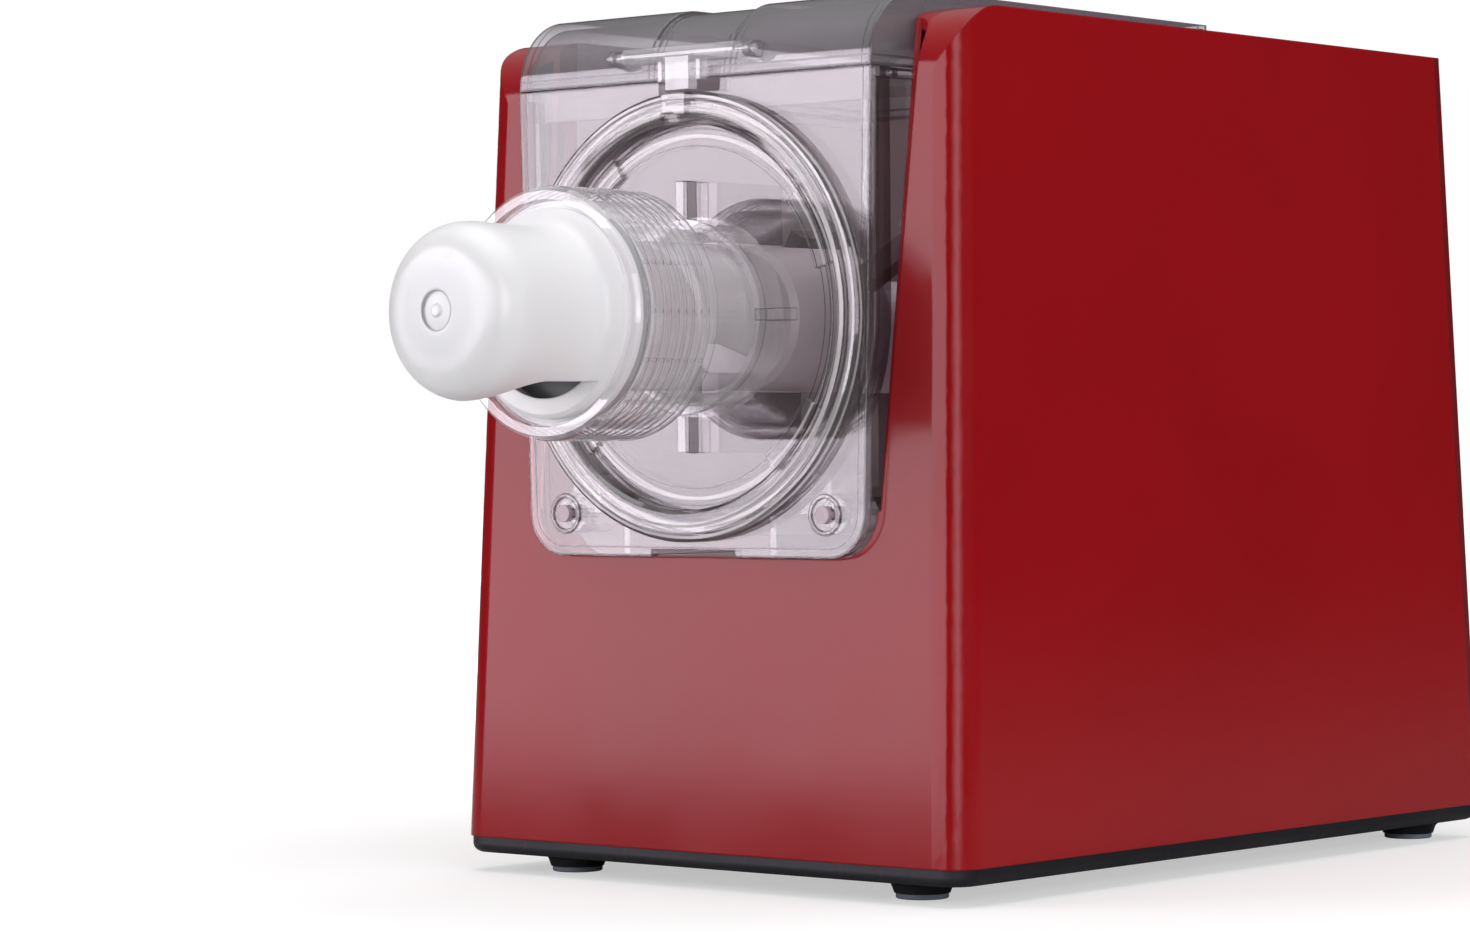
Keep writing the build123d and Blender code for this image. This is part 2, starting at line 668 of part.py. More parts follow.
def make_bowl():
    """A half-round trough with upright sides, two rails below and a rim round the top."""
    y = (PLATE_BACK, BOWL_LENGTH)
    outer_radius = BOWL_RADIUS + BOWL_WALL
    body = rod(0, AXIS_Z, outer_radius, y) + block((-outer_radius, outer_radius), y, (AXIS_Z, BOWL_TOP))
    boss_y = (PLATE_BACK, PLATE_BACK + BOSS_LENGTH)
    for sign in (-1, 1):
        rail = sorted([sign * RAIL_X, sign * (RAIL_X + RAIL_THICK)])
        rail_z = (PLATE_LOW, AXIS_Z - BOWL_RADIUS / 2)
        body = body + block(rail, (PLATE_BACK, BOWL_LENGTH - RAIL_SHORT), rail_z)
        body = body + rod(sign * PLATE_BOSS_X, PLATE_BOSS_Z, PLATE_BOSS_RADIUS, boss_y)
        arm = sorted([sign * (PLATE_BOSS_X - BOSS_ARM), sign * PLATE_BOSS_X])
        body = body + block(arm, boss_y, (PLATE_BOSS_Z, PLATE_BOSS_Z + BOSS_ARM))
    body = body + block((-RIM_WIDTH, RIM_WIDTH), y, (BOWL_TOP - RIM_THICK, BOWL_TOP))
    inner = (PLATE_BACK - BOWL_WALL, BOWL_LENGTH - BOWL_WALL)
    hollow = rod(0, AXIS_Z, BOWL_RADIUS, inner)
    hollow = hollow + block((-BOWL_RADIUS, BOWL_RADIUS), inner, (AXIS_Z, BOWL_TOP + LOOSE_GAP))
    body = body - hollow
    lip_y = (PLATE_BACK, PLATE_BACK + LIP_THICK)
    for sign in (-1, 1):
        lip = sorted([sign * LATCH_NOTCH_HALF, sign * (BOWL_RADIUS + LIP_OVERLAP)])
        body = body + block(lip, lip_y, (BOWL_TOP - LIP_HEIGHT, BOWL_TOP))
    lug_room = rod(0, AXIS_Z, LUG_RADIUS + LOOSE_GAP, lip_y)
    body = body - (lug_room & block((-BOWL_RADIUS, BOWL_RADIUS), lip_y, (AXIS_Z, BOWL_TOP)))
    bush_y = (BOWL_LENGTH - BUSH_LENGTH, BOWL_LENGTH)
    body = body + rod(0, AXIS_Z, BUSH_RADIUS + BUSH_WALL, bush_y)
    body = body - rod(0, AXIS_Z, BUSH_RADIUS + HOLE_GAP, (bush_y[0] - BOWL_WALL, bush_y[1] + BOWL_WALL))
    for sign in (-1, 1):
        hole = (PLATE_BACK - BOWL_WALL, PLATE_BACK + BOSS_HOLE)
        body = body - rod(sign * PLATE_BOSS_X, PLATE_BOSS_Z, SCREW_HOLE, hole)
    return body


CATCH_LOW = 2.6
CATCH_PROUD = 2.0
POCKET_HIGH = 3.4
RIB_FRONT = 1.0
DISC_BACK = BOWL_PLATE_FRONT - LOOSE_GAP
RING_FRONT = DISC_BACK - RING_THICK
WEB_BACK = WEB_FRONT + WEB_THICK
SPIGOT_INNER = SPIGOT_RADIUS - SPIGOT_WALL
RING_STEPS = (
    (0.0, 1.6), (1.2, 0.4), (3.6, 0.0), (4.8, 0.0), (5.4, 0.8),
    (7.8, 0.8), (8.4, 1.6), (9.6, 1.8), (10.4, 2.6),
)


def make_front_disc():
    """A stepped ring with a web inside it, three lugs behind it and four ribs round the barrel."""
    steps = [(SPIGOT_INNER + out, RING_FRONT + back) for out, back in RING_STEPS]
    disc = turned(
        [(BARREL_NECK + HOLE_GAP, WEB_FRONT), (SPIGOT_INNER, WEB_FRONT)]
        + steps
        + [
            (RING_RADIUS, DISC_BACK), (SPIGOT_RADIUS, DISC_BACK),
            (SPIGOT_RADIUS, WEB_BACK + SPIGOT_TAIL), (SPIGOT_INNER, WEB_BACK + SPIGOT_TAIL),
            (SPIGOT_INNER, WEB_BACK), (BARREL_NECK + HOLE_GAP, WEB_BACK),
        ]
    )
    lug_y = (PLATE_BACK + SLIDE_GAP, WEB_BACK + SPIGOT_TAIL)
    lug_ring = tube(0, AXIS_Z, LUG_RADIUS, SPIGOT_RADIUS - SPIGOT_WALL / 3, lug_y)
    for turn in range(LUG_COUNT):
        disc = disc + (lug_ring & sector(LUG_ARC, LUG_ANGLE + turn * FULL_TURN / LUG_COUNT, RING_RADIUS))
    rib_z = (AXIS_Z + BARREL_FLANGE + HOLE_GAP, AXIS_Z + RIB_REACH)
    rib = block((-RIB_THICK / 2, RIB_THICK / 2), (RING_FRONT + RIB_FRONT, WEB_FRONT + HOLE_GAP), rib_z)
    for turn in range(4):
        disc = disc + around(rib, turn * FULL_TURN / 4)
    catch_z = (AXIS_Z + SPIGOT_INNER + CATCH_LOW, AXIS_Z + RING_RADIUS - BOSS_RIM_PROUD)
    catch = block((-CATCH_HALF, CATCH_HALF), (RING_FRONT - CATCH_PROUD, RING_FRONT + SPIGOT_TAIL), catch_z)
    pocket_z = (AXIS_Z + SPIGOT_INNER + LOOSE_GAP, AXIS_Z + SPIGOT_INNER + POCKET_HIGH)
    pocket = block((-POCKET_WIDE, 0), (RING_FRONT - CATCH_PROUD * 2, RING_FRONT + CATCH_PROUD), pocket_z)
    land_y = (WEB_FRONT - LAND_THICK, WEB_FRONT + HOLE_GAP)
    land_ring = tube(0, AXIS_Z, SPIGOT_INNER + HOLE_GAP, SPIGOT_INNER - LAND_WIDE, land_y)
    lands = [land_ring & sector(LAND_ARC, middle, RING_RADIUS) for middle in LAND_ANGLES]
    return joined([disc + catch - pocket] + lands)


HEAD_BACK = BARREL_HEAD_LENGTH - BARREL_FRONT
FLANGE_FRONT = -5.6
FLANGE_THICK = 3.0
THREAD_STEPS = ((0.4, 0.0), (0.6, THREAD_DEPTH), (0.8, THREAD_DEPTH), (1.0, 0.0))


def make_barrel():
    """The tube that the screw turns in: a collar behind the web, a flange before it and a threaded head."""
    collar_front = WEB_BACK + HOLE_GAP
    profile = [
        (BARREL_BORE, collar_front + BARREL_COLLAR),
        (BARREL_NECK + BARREL_COLLAR, collar_front + BARREL_COLLAR),
        (BARREL_NECK + BARREL_COLLAR, collar_front), (BARREL_NECK, collar_front),
        (BARREL_NECK, FLANGE_FRONT + FLANGE_THICK + SLIDE_GAP), (BARREL_FLANGE, FLANGE_FRONT + FLANGE_THICK),
        (BARREL_FLANGE, FLANGE_FRONT), (BARREL_NECK, FLANGE_FRONT - SLIDE_GAP),
        (BARREL_NECK, HEAD_BACK + BARREL_CONE), (BARREL_HEAD, HEAD_BACK),
    ]
    for turn in range(int(BARREL_HEAD_LENGTH / NUT_PITCH) - 1):
        start = HEAD_BACK - turn * NUT_PITCH
        profile += [(BARREL_HEAD - deep, start - NUT_PITCH * share) for share, deep in THREAD_STEPS]
    profile += [(BARREL_HEAD, -BARREL_FRONT), (BARREL_BORE, -BARREL_FRONT)]
    return turned(profile)


RIDGE_STEPS = ((0.0, RIDGE_DEPTH), (0.8, 0.0), (2.6, 0.0), (3.2, RIDGE_DEPTH))
NUT_REAR_STEPS = ((2.6, 0.0), (1.4, 1.6))
NUT_FRONT_STEPS = ((0.0, 3.4), (0.4, 1.2), (1.6, 0.0))
NUT_MOUTH_EDGE = 1.6
RIDGES_START = 2.4
GROOVE_MARGIN = 6.0


def make_nut():
    front = -NUT_REAR - NUT_LENGTH
    rear = -NUT_REAR
    profile = [(NUT_BORE, rear)] + [(NUT_RADIUS - deep, rear - along) for deep, along in NUT_REAR_STEPS]
    for ridge in range(NUT_RIDGES):
        start = rear - RIDGES_START - ridge * RIDGE_PITCH
        profile += [(NUT_RADIUS - deep, start - along) for along, deep in RIDGE_STEPS]
    profile += [(NUT_RADIUS - deep, front + along) for deep, along in NUT_FRONT_STEPS]
    profile += [(NUT_MOUTH + NUT_MOUTH_EDGE, front), (NUT_MOUTH, front + NUT_MOUTH_EDGE),
                (NUT_MOUTH, front + NUT_LIP), (NUT_BORE, front + NUT_LIP)]
    nut = turned(profile)
    groove = block(
        (-GROOVE_WIDE / 2, GROOVE_WIDE / 2), (front + GROOVE_MARGIN, rear - GROOVE_MARGIN),
        (AXIS_Z + NUT_RADIUS - RIDGE_DEPTH, AXIS_Z + NUT_RADIUS + RIDGE_DEPTH),
    )
    for turn in range(NUT_GROOVES):
        nut = nut - around(groove, turn * FULL_TURN / NUT_GROOVES)
    return nut


DIE_BACK = -BARREL_FRONT - DIE_SEAL_THICK - SLIDE_GAP
DIE_FRONT = DIE_BACK - DIE_THICK
HOOD_BACK = DIE_FRONT - SLIDE_GAP


def make_die():
    die = rod(0, AXIS_Z, DIE_RADIUS, (DIE_FRONT, DIE_BACK))
    drill = (DIE_FRONT - DIE_THICK, DIE_BACK + DIE_THICK)
    for count, radius in DIE_RINGS:
        hole = rod(radius, AXIS_Z, DIE_HOLE, drill)
        for turn in range(count):
            die = die - around(hole, turn * FULL_TURN / count)
    return die


HOOD_NECK_EDGE = 3.5
HOOD_TIP_WALL = 3.2
GATE_RADIUS = 2.2
GATE_HEIGHT = 0.8
# the hood's outer and inner curves as (radius, distance from its back face)
HOOD_OUTER = (
    (28.8, 9.6), (27.5, 14.0), (27.3, 24.0), (27.5, 34.0), (27.6, 41.6), (27.1, 45.6),
    (25.9, 48.8), (23.8, 51.6), (20.8, 53.5), (16.8, 54.4),
)
HOOD_INNER = (
    (26.2, 9.6), (25.1, 14.0), (24.9, 24.0), (25.1, 34.0), (25.2, 40.6), (24.5, 44.6),
    (22.8, 48.0), (20.0, 50.4), (15.0, 51.9),
)
HOOD_CROWN = 8.0
MOUTH_REAR = 7.4
MOUTH_FRONT = 49.4
MOUTH_NECK = 21.4
MOUTH_TOP = 21.5
MOUTH_SIDE = ((33.9, 23.7), (42.4, 27.1))
MOUTH_LOW = 40.0
HOOD_LOW = 28.6


def make_hood():
    """A cap that turns the pasta down: a flange in the nut, a waist, a round nose, cut away below."""
    back = HOOD_BACK
    flange_front = back - HOOD_FLANGE_THICK
    neck = NUT_MOUTH - 1.0
    tip = -HOOD_REACH
    shoulder = flange_front - HOOD_NECK_EDGE
    outer_points = [(radius, back - along) for radius, along in HOOD_OUTER]
    outer = (
        Polyline((0, back), (HOOD_FLANGE, back), (HOOD_FLANGE, flange_front), (neck, flange_front),
                 (neck, shoulder))
        + Spline((neck, shoulder), *outer_points, (HOOD_CROWN, tip + GATE_HEIGHT),
                 (GATE_RADIUS, tip + GATE_HEIGHT), tangents=[(-1, -0.75), (-1, -0.1)])
        + Polyline((GATE_RADIUS, tip + GATE_HEIGHT), (GATE_RADIUS - BOSS_RIM_PROUD, tip), (0, tip), (0, back))
    )
    throat = back - 2.0
    inner_points = [(radius, back - along) for radius, along in HOOD_INNER]
    inner = (
        Polyline((0, back + 1), (BARREL_NECK, back + 1), (BARREL_NECK, throat))
        + Spline((BARREL_NECK, throat), *inner_points, (HOOD_CROWN, tip + HOOD_TIP_WALL + HOLE_GAP),
                 (0, tip + HOOD_TIP_WALL), tangents=[(-1, -1.1), (-1, 0)])
        + Polyline((0, tip + HOOD_TIP_WALL), (0, back + 1))
    )
    hood = revolve(make_face(outer), Axis.Y) - revolve(make_face(inner), Axis.Y)
    front, rear, waist = back - MOUTH_FRONT, back - MOUTH_REAR, back - MOUTH_NECK
    mouth = (
        Polyline((0, front, -MOUTH_LOW), (0, rear, -MOUTH_LOW), (0, rear, -MOUTH_TOP), (0, waist, -MOUTH_TOP))
        + Spline((0, waist, -MOUTH_TOP), *[(0, back - along, -drop) for along, drop in MOUTH_SIDE],
                 (0, front, -HOOD_LOW), tangents=[(0, -1, 0), (0, -1, -0.15)])
        + Polyline((0, front, -HOOD_LOW), (0, front, -MOUTH_LOW))
    )
    hood = hood - extrude(make_face(mouth), amount=HOOD_FLANGE * 2, dir=(1, 0, 0), both=True)
    return Pos(0, 0, AXIS_Z) * hood


nodes["bowl_front_plate"] = make_bowl_front()
nodes["mixing_bowl"] = make_bowl()
nodes["front_disc"] = make_front_disc()
nodes["extrusion_barrel"] = make_barrel()
nodes["nozzle_nut"] = make_nut()
nodes["shaping_die"] = make_die()
seal_outer = DIE_RADIUS - LOOSE_GAP
nodes["die_seal"] = tube(
    0, AXIS_Z, seal_outer, seal_outer - DIE_SEAL_WIDE, (DIE_BACK, DIE_BACK + DIE_SEAL_THICK)
)
nodes["outlet_hood"] = make_hood()


# ---- screw and paddle ----
def hex_bar(across, y):
    """A six-sided bar on the nozzle axis, between two depths."""
    outline = RegularPolygon(across, 6)
    return Pos(0, y[1], AXIS_Z) * Rot(90, 0, 0) * extrude(outline, amount=y[1] - y[0])


def make_screw():
    """A conveying screw: one flight wound round a core."""
    front = -BARREL_FRONT + SCREW_SHORT
    length = SCREW_REAR - front
    half_angle = math.radians(FLIGHT_WIDTH / 2)
    tip = (SCREW_RADIUS * math.cos(half_angle), SCREW_RADIUS * math.sin(half_angle))
    root = (SCREW_CORE * 0.3, SCREW_CORE * 0.8)
    lobe = make_face(
        Polyline((root[0], root[1]), (root[0], -root[1]), (tip[0], -tip[1]))
        + ThreePointArc((tip[0], -tip[1]), (SCREW_RADIUS, 0), (tip[0], tip[1]))
        + Polyline((tip[0], tip[1]), (root[0], root[1]))
    )
    section = Circle(SCREW_CORE) + lobe
    turns = FULL_TURN * length / SCREW_PITCH
    along = Vector(0, 0, length)
    flight = Solid.extrude_linear_with_rotation(section.faces()[0], Vector(0, 0, 0), along, turns)
    flight = Pos(0, SCREW_REAR, AXIS_Z) * Rot(90, 0, 0) * flight
    return rod(0, AXIS_Z, SCREW_NECK, (front - SCREW_SHORT / 2, HUB_FRONT + HUB_CHAMFER)) + flight


def make_paddle():
    hub = rod(0, AXIS_Z, HUB_RADIUS, (HUB_FRONT, HUB_REAR))
    hub = chamfer(hub.faces().filter_by(Axis.Y).edges(), HUB_CHAMFER)
    paddle = hub + rod(0, AXIS_Z, PADDLE_CORE, (HUB_REAR - HUB_CHAMFER, PADDLE_REAR - BUSH_LENGTH / 2))
    half = PADDLE_BLADE_THICK / 2
    for sign, rear in FRONT_BLADES:
        z = sorted([AXIS_Z + sign * (HUB_RADIUS - BLADE_SINK), AXIS_Z + sign * FRONT_BLADE_REACH])
        paddle = paddle + block((-half, half), (FRONT_BLADE_START, rear), z)
    tip = AXIS_Z + PADDLE_REACH
    for y, angle in PADDLE_ARMS:
        arm = block((-half, half), (y, y + ARM_THICK), (AXIS_Z, tip))
        foot = block((-half, half), (y - ARM_THICK, y + ARM_THICK * 2), (tip - BLADE_SINK, tip))
        paddle = paddle + around(arm + foot, angle)
    paddle = paddle - rod(0, AXIS_Z, SCREW_NECK, (HUB_FRONT - HUB_CHAMFER, HUB_FRONT + HUB_CHAMFER))
    socket_front = PADDLE_REAR - HEX_SHAFT_LENGTH - SOCKET_SPARE
    return paddle - hex_bar(HEX_SOCKET + SLIDE_GAP, (socket_front, PADDLE_REAR))


nodes["conveying_screw"] = make_screw()
nodes["mixing_paddle"] = make_paddle()

# ---- lid ----
KNUCKLE_GAP = 0.4
LID_KNUCKLE = (46.0, 62.0)
INNER_KNUCKLE = (36.0, LID_KNUCKLE[0] - KNUCKLE_GAP)
OUTER_KNUCKLE = (LID_KNUCKLE[1] + KNUCKLE_GAP, 72.0)
LID_KNUCKLES = [(-LID_KNUCKLE[1], -LID_KNUCKLE[0]), LID_KNUCKLE]
PANEL_KNUCKLES = [
    (-OUTER_KNUCKLE[1], -OUTER_KNUCKLE[0]), (-INNER_KNUCKLE[1], -INNER_KNUCKLE[0]),
    INNER_KNUCKLE, OUTER_KNUCKLE,
]
LID_FRONT_LEAN = 1.0
CHANNEL_ABOVE_BAR = 6.0


def lid_slice(inset, half):
    """The lid's side outline, drawn in by an inset and carried across it."""
    front = BOWL_PLATE_FRONT + inset
    rear = LID_REAR - inset
    top = LID_TOP - inset
    low = LID_LOW - (LID_WALL if inset else 0)
    outline = make_face(
        Polyline((-half, front, low), (-half, rear, low), (-half, rear, top),
                 (-half, front + LID_FRONT_LEAN, top), close=True)
    )
    corner = outline.vertices().sort_by(Axis.Z)[-2:].sort_by(Axis.Y)[0]
    return extrude(fillet(corner, LID_NOSE - inset), amount=2 * half, dir=(1, 0, 0))


def make_lid():
    lid = lid_slice(0, LID_HALF) - lid_slice(LID_WALL, LID_HALF - LID_WALL)
    channel = lid_slice(0, CHANNEL_HALF) - lid_slice(LID_WALL / 2, CHANNEL_HALF)
    channel_z = (LATCH_BAR_Z + CHANNEL_ABOVE_BAR, LID_TOP + LOOSE_GAP)
    channel_y = (BOWL_PLATE_FRONT - LID_WALL, LID_NOSE * 2)
    lid = lid - (channel & block((-CHANNEL_HALF, CHANNEL_HALF), channel_y, channel_z))
    for x in LID_KNUCKLES:
        lid = lid + bar(x, KNUCKLE_RADIUS, HINGE_Y, HINGE_Z)
    for x in PANEL_KNUCKLES:
        wide = (x[0] - SLIDE_GAP, x[1] + SLIDE_GAP)
        lid = lid - bar(wide, KNUCKLE_RADIUS + LOOSE_GAP, HINGE_Y, HINGE_Z)
    ear_out = LATCH_PIN_HALF - KNUCKLE_GAP
    ear_z = (LATCH_BAR_Z - LATCH_EAR_RADIUS, LATCH_BAR_Z + LATCH_EAR_RADIUS)
    for sign in (-1, 1):
        x = sorted([sign * (ear_out - LATCH_EAR_WIDE), sign * ear_out])
        ear = block(x, (LATCH_BAR_Y, BOWL_PLATE_FRONT + LID_WALL - SLIDE_GAP), ear_z)
        lid = lid + ear + bar(x, LATCH_EAR_RADIUS, LATCH_BAR_Y, LATCH_BAR_Z)
    pin_room = (-LATCH_PIN_HALF - LOOSE_GAP, LATCH_PIN_HALF + LOOSE_GAP)
    lid = lid - bar(pin_room, LATCH_PIN_RADIUS + RUNNING_GAP, LATCH_BAR_Y, LATCH_BAR_Z)
    return lid - bar((-LID_HALF, LID_HALF), HINGE_PIN_RADIUS + RUNNING_GAP, HINGE_Y, HINGE_Z)


LATCH_ARM = ((-5.0, 5.0), (-2.6, 1.6))
LATCH_CHEEK_Y = (-1.6, 2.0)
LATCH_CHEEK_SHORT = 3.0


def make_latch():
    """A cross bar on a pin, with an arm and two cheeks that hang down to the front ring."""
    grip = bar((-LATCH_BAR_HALF, LATCH_BAR_HALF), LATCH_BAR_RADIUS, LATCH_BAR_Y, LATCH_BAR_Z)
    grip = grip + bar((-LATCH_PIN_HALF, LATCH_PIN_HALF), LATCH_PIN_RADIUS, LATCH_BAR_Y, LATCH_BAR_Z)
    low = AXIS_Z + RING_RADIUS + LOOSE_GAP
    arm_y = [LATCH_BAR_Y + y for y in LATCH_ARM[1]]
    latch = grip + block(LATCH_ARM[0], arm_y, (low, LATCH_BAR_Z))
    cheek_y = [LATCH_BAR_Y + y for y in LATCH_CHEEK_Y]
    for sign in (-1, 1):
        x = sorted(sign * edge for edge in LATCH_CHEEK_X)
        latch = latch + block(x, cheek_y, (low + LATCH_CHEEK_SHORT, LATCH_BAR_Z))
    return latch


# ---- control panel ----
FLANGE_TOP = SHELL_TOP - SHELL_WALL
ABOVE_PANEL = PANEL_TOP + LOOSE_GAP
BOARD_POSTS = [(sign * BOARD_POST_X, y) for sign in (-1, 1) for y in BOARD_POST_YS]
BOARD_HOLE = 8.0
ARM_DROP = 0.6


def window_block(inset, z):
    half_long, half_wide = WINDOW_LONG / 2 - inset, WINDOW_WIDE / 2 - inset
    return block((-half_long, half_long), (WINDOW_Y - half_wide, WINDOW_Y + half_wide), z)


def make_panel():
    x = (-PANEL_HALF, PANEL_HALF)
    y = (PANEL_FRONT, PANEL_REAR)
    flange_z = (FLANGE_TOP - PANEL_FLANGE_THICK, FLANGE_TOP)
    panel = block(x, y, (flange_z[0], PANEL_TOP))
    panel = fillet(panel.faces().sort_by(Axis.Z)[-1].edges(), PANEL_EDGE)
    hollow_x = (x[0] + PANEL_WALL, x[1] - PANEL_WALL)
    hollow_y = (y[0] + PANEL_WALL, y[1] - PANEL_WALL)
    panel = panel - block(hollow_x, hollow_y, (0, PANEL_TOP - PANEL_WALL))
    for sign in (-1, 1):
        ledge = sorted([sign * (PANEL_HALF - HOLE_GAP), sign * (PANEL_HALF + PANEL_FLANGE)])
        panel = panel + block(ledge, y, flange_z)
    for knuckle in PANEL_KNUCKLES:
        arm_y = (HINGE_Y, PANEL_FRONT + PANEL_WALL / 2)
        panel = panel + block(knuckle, arm_y, (HINGE_Z - KNUCKLE_RADIUS, HINGE_Z - ARM_DROP))
        panel = panel + bar(knuckle, KNUCKLE_RADIUS, HINGE_Y, HINGE_Z)
    panel = panel - bar((-PANEL_HALF, PANEL_HALF), HINGE_PIN_RADIUS + RUNNING_GAP, HINGE_Y, HINGE_Z)
    below = BOARD_Z + BOARD_THICK
    panel = panel - window_block(0, (PANEL_TOP - WINDOW_THICK, ABOVE_PANEL))
    panel = panel - window_block(WINDOW_LEDGE, (below, ABOVE_PANEL))
    for place in BUTTON_XS.values():
        panel = panel - post(place, BUTTON_Y, BUTTON_RADIUS + SLIDE_GAP, (below, ABOVE_PANEL))
    for place, y_place in BOARD_POSTS:
        panel = panel + post(place, y_place, BOARD_POST_RADIUS, (below, PANEL_TOP - PANEL_WALL + HOLE_GAP))
        panel = panel - post(place, y_place, SCREW_HOLE, (0, below + BOARD_HOLE))
    return panel


def make_button(x):
    """A round key: its collar is under the panel and its stem reaches down to its switch."""
    collar_top = PANEL_TOP - PANEL_WALL - HOLE_GAP
    collar_low = collar_top - BUTTON_FLANGE
    cap = post(x, BUTTON_Y, BUTTON_RADIUS, (collar_low, PANEL_TOP + BUTTON_PROUD))
    cap = fillet(cap.edges().sort_by(Axis.Z)[-1], BUTTON_EDGE)
    cap = cap + post(x, BUTTON_Y, BUTTON_RADIUS + BUTTON_FLANGE_WIDE, (collar_low, collar_top))
    stem_low = BOARD_Z + BOARD_THICK + SWITCH_HEIGHT + BUTTON_TRAVEL + SLIDE_GAP
    return cap + post(x, BUTTON_Y, STEM_RADIUS, (stem_low, collar_low))


nodes["lid"] = make_lid()
nodes["lid_latch"] = make_latch()
nodes["lid_hinge_pin"] = bar((-OUTER_KNUCKLE[1], OUTER_KNUCKLE[1]), HINGE_PIN_RADIUS, HINGE_Y, HINGE_Z)
nodes["control_panel"] = make_panel()
nodes["display_window"] = window_block(HOLE_GAP, (PANEL_TOP - WINDOW_THICK, PANEL_TOP))
display_low = BOARD_Z + BOARD_THICK
nodes["display_module"] = window_block(DISPLAY_SIDE, (display_low, PANEL_TOP - WINDOW_THICK - SLIDE_GAP))
for button_name, button_x in BUTTON_XS.items():
    nodes[f"button_{button_name}"] = make_button(button_x)
board = block(
    (-BOARD_HALF, BOARD_HALF), (PANEL_FRONT + BOARD_MARGIN, PANEL_REAR - BOARD_MARGIN), (BOARD_Z, display_low)
)
for place, y_place in BOARD_POSTS:
    board = board - post(place, y_place, SCREW_HOLE, (0, SHELL_TOP))
nodes["control_board"] = board
switch_y = (BUTTON_Y - SWITCH_SIDE / 2, BUTTON_Y + SWITCH_SIDE / 2)
switch_z = (display_low, display_low + SWITCH_HEIGHT)
nodes["key_switches"] = Compound(
    children=[
        block((x - SWITCH_SIDE / 2, x + SWITCH_SIDE / 2), switch_y, switch_z)
        for x in BUTTON_XS.values()
    ]
)
panel_board_screws = [Pos(x, y, BOARD_Z) * screw(BOARD_SCREW) for x, y in BOARD_POSTS]

# ---- drive train ----
OUTPUT_REACH = OUTPUT_MODULE * (OUTPUT_TEETH + PINION_TEETH) / 2
INPUT_REACH = INPUT_MODULE * (OUTPUT_TEETH + PINION_TEETH) / 2
COMPOUND_X = -OUTPUT_REACH * math.sin(math.radians(COMPOUND_ANGLE))
COMPOUND_Z = AXIS_Z - OUTPUT_REACH * math.cos(math.radians(COMPOUND_ANGLE))
INPUT_X = 0.0
INPUT_Z = COMPOUND_Z - math.sqrt(INPUT_REACH**2 - (INPUT_X - COMPOUND_X) ** 2)
SEAL_WIDTH = 4.0
MOTOR_SHAFT = 4.0
MOTOR_WALL = 2.5
HEX_NECK = 2.0
GEAR_HUB = 4.0
CASE_SCREW = 18.0
BACK_PLATE_LIP = 2.0
TRACK_DEPTH = 1.2
TRACK_HALF = 1.6
PULLEY_HOLES = 6
CUT_SPARE = 1.0


def gear(module, teeth, y, phase):
    """An involute spur gear about the Y axis; phase turns it, in degrees."""
    pitch = module * teeth / 2
    base = pitch * math.cos(math.radians(PRESSURE_ANGLE))
    outer = pitch + ADDENDUM * module
    root = pitch - DEDENDUM * module
    involute = math.tan(math.radians(PRESSURE_ANGLE)) - math.radians(PRESSURE_ANGLE)
    half_tooth = math.pi / (2 * teeth) - BACKLASH / (2 * pitch)
    start = max(base, root + 0.01)
    flank = []
    for step in range(4):
        radius = start + (outer - start) * step / 3
        pressure = math.acos(min(1.0, base / radius))
        flank.append((radius, half_tooth + involute - (math.tan(pressure) - pressure)))
    points = []
    for tooth in range(teeth):
        middle = 2 * math.pi * tooth / teeth + math.radians(phase)
        side = [(root, flank[0][1])] + flank
        for radius, angle in side:
            points.append((radius * math.cos(middle - angle), radius * math.sin(middle - angle)))
        for radius, angle in reversed(side):
            points.append((radius * math.cos(middle + angle), radius * math.sin(middle + angle)))
    outline = make_face(Polyline([(px, y[0], pz) for px, pz in points], close=True))
    return extrude(outline, amount=y[1] - y[0], dir=(0, 1, 0))


def mesh_phase(teeth, direction):
    """Turns a gear so that a gap, not a tooth, points along a direction in degrees."""
    return direction + FULL_TURN / 2 / teeth


def direction_between(start, end):
    return math.degrees(math.atan2(end[1] - start[1], end[0] - start[0]))


OUTPUT_CENTRE = (0.0, AXIS_Z)
COMPOUND_CENTRE = (COMPOUND_X, COMPOUND_Z)
INPUT_CENTRE = (INPUT_X, INPUT_Z)
MOTOR_CENTRE = (MOTOR_X, MOTOR_Z)
EAR_SPREAD = {OUTPUT_CENTRE: (40.0, 140.0, -30.0), COMPOUND_CENTRE: (195.0,), INPUT_CENTRE: (250.0,)}
CASE_REACH = {
    OUTPUT_CENTRE: OUTPUT_MODULE * (OUTPUT_TEETH / 2 + ADDENDUM),
    COMPOUND_CENTRE: INPUT_MODULE * (OUTPUT_TEETH / 2 + ADDENDUM),
    INPUT_CENTRE: INPUT_MODULE * (PINION_TEETH / 2 + ADDENDUM),
}


def case_solid(grow, y):
    """A straight-sided block round the three gear axes, as far out as the gears and a clearance."""
    circles = []
    for centre, reach in CASE_REACH.items():
        circles += (Pos(*centre) * Circle(reach + CASE_CLEAR + grow)).edges()
    return Pos(0, y[1], 0) * Rot(90, 0, 0) * extrude(make_hull(circles), amount=y[1] - y[0])


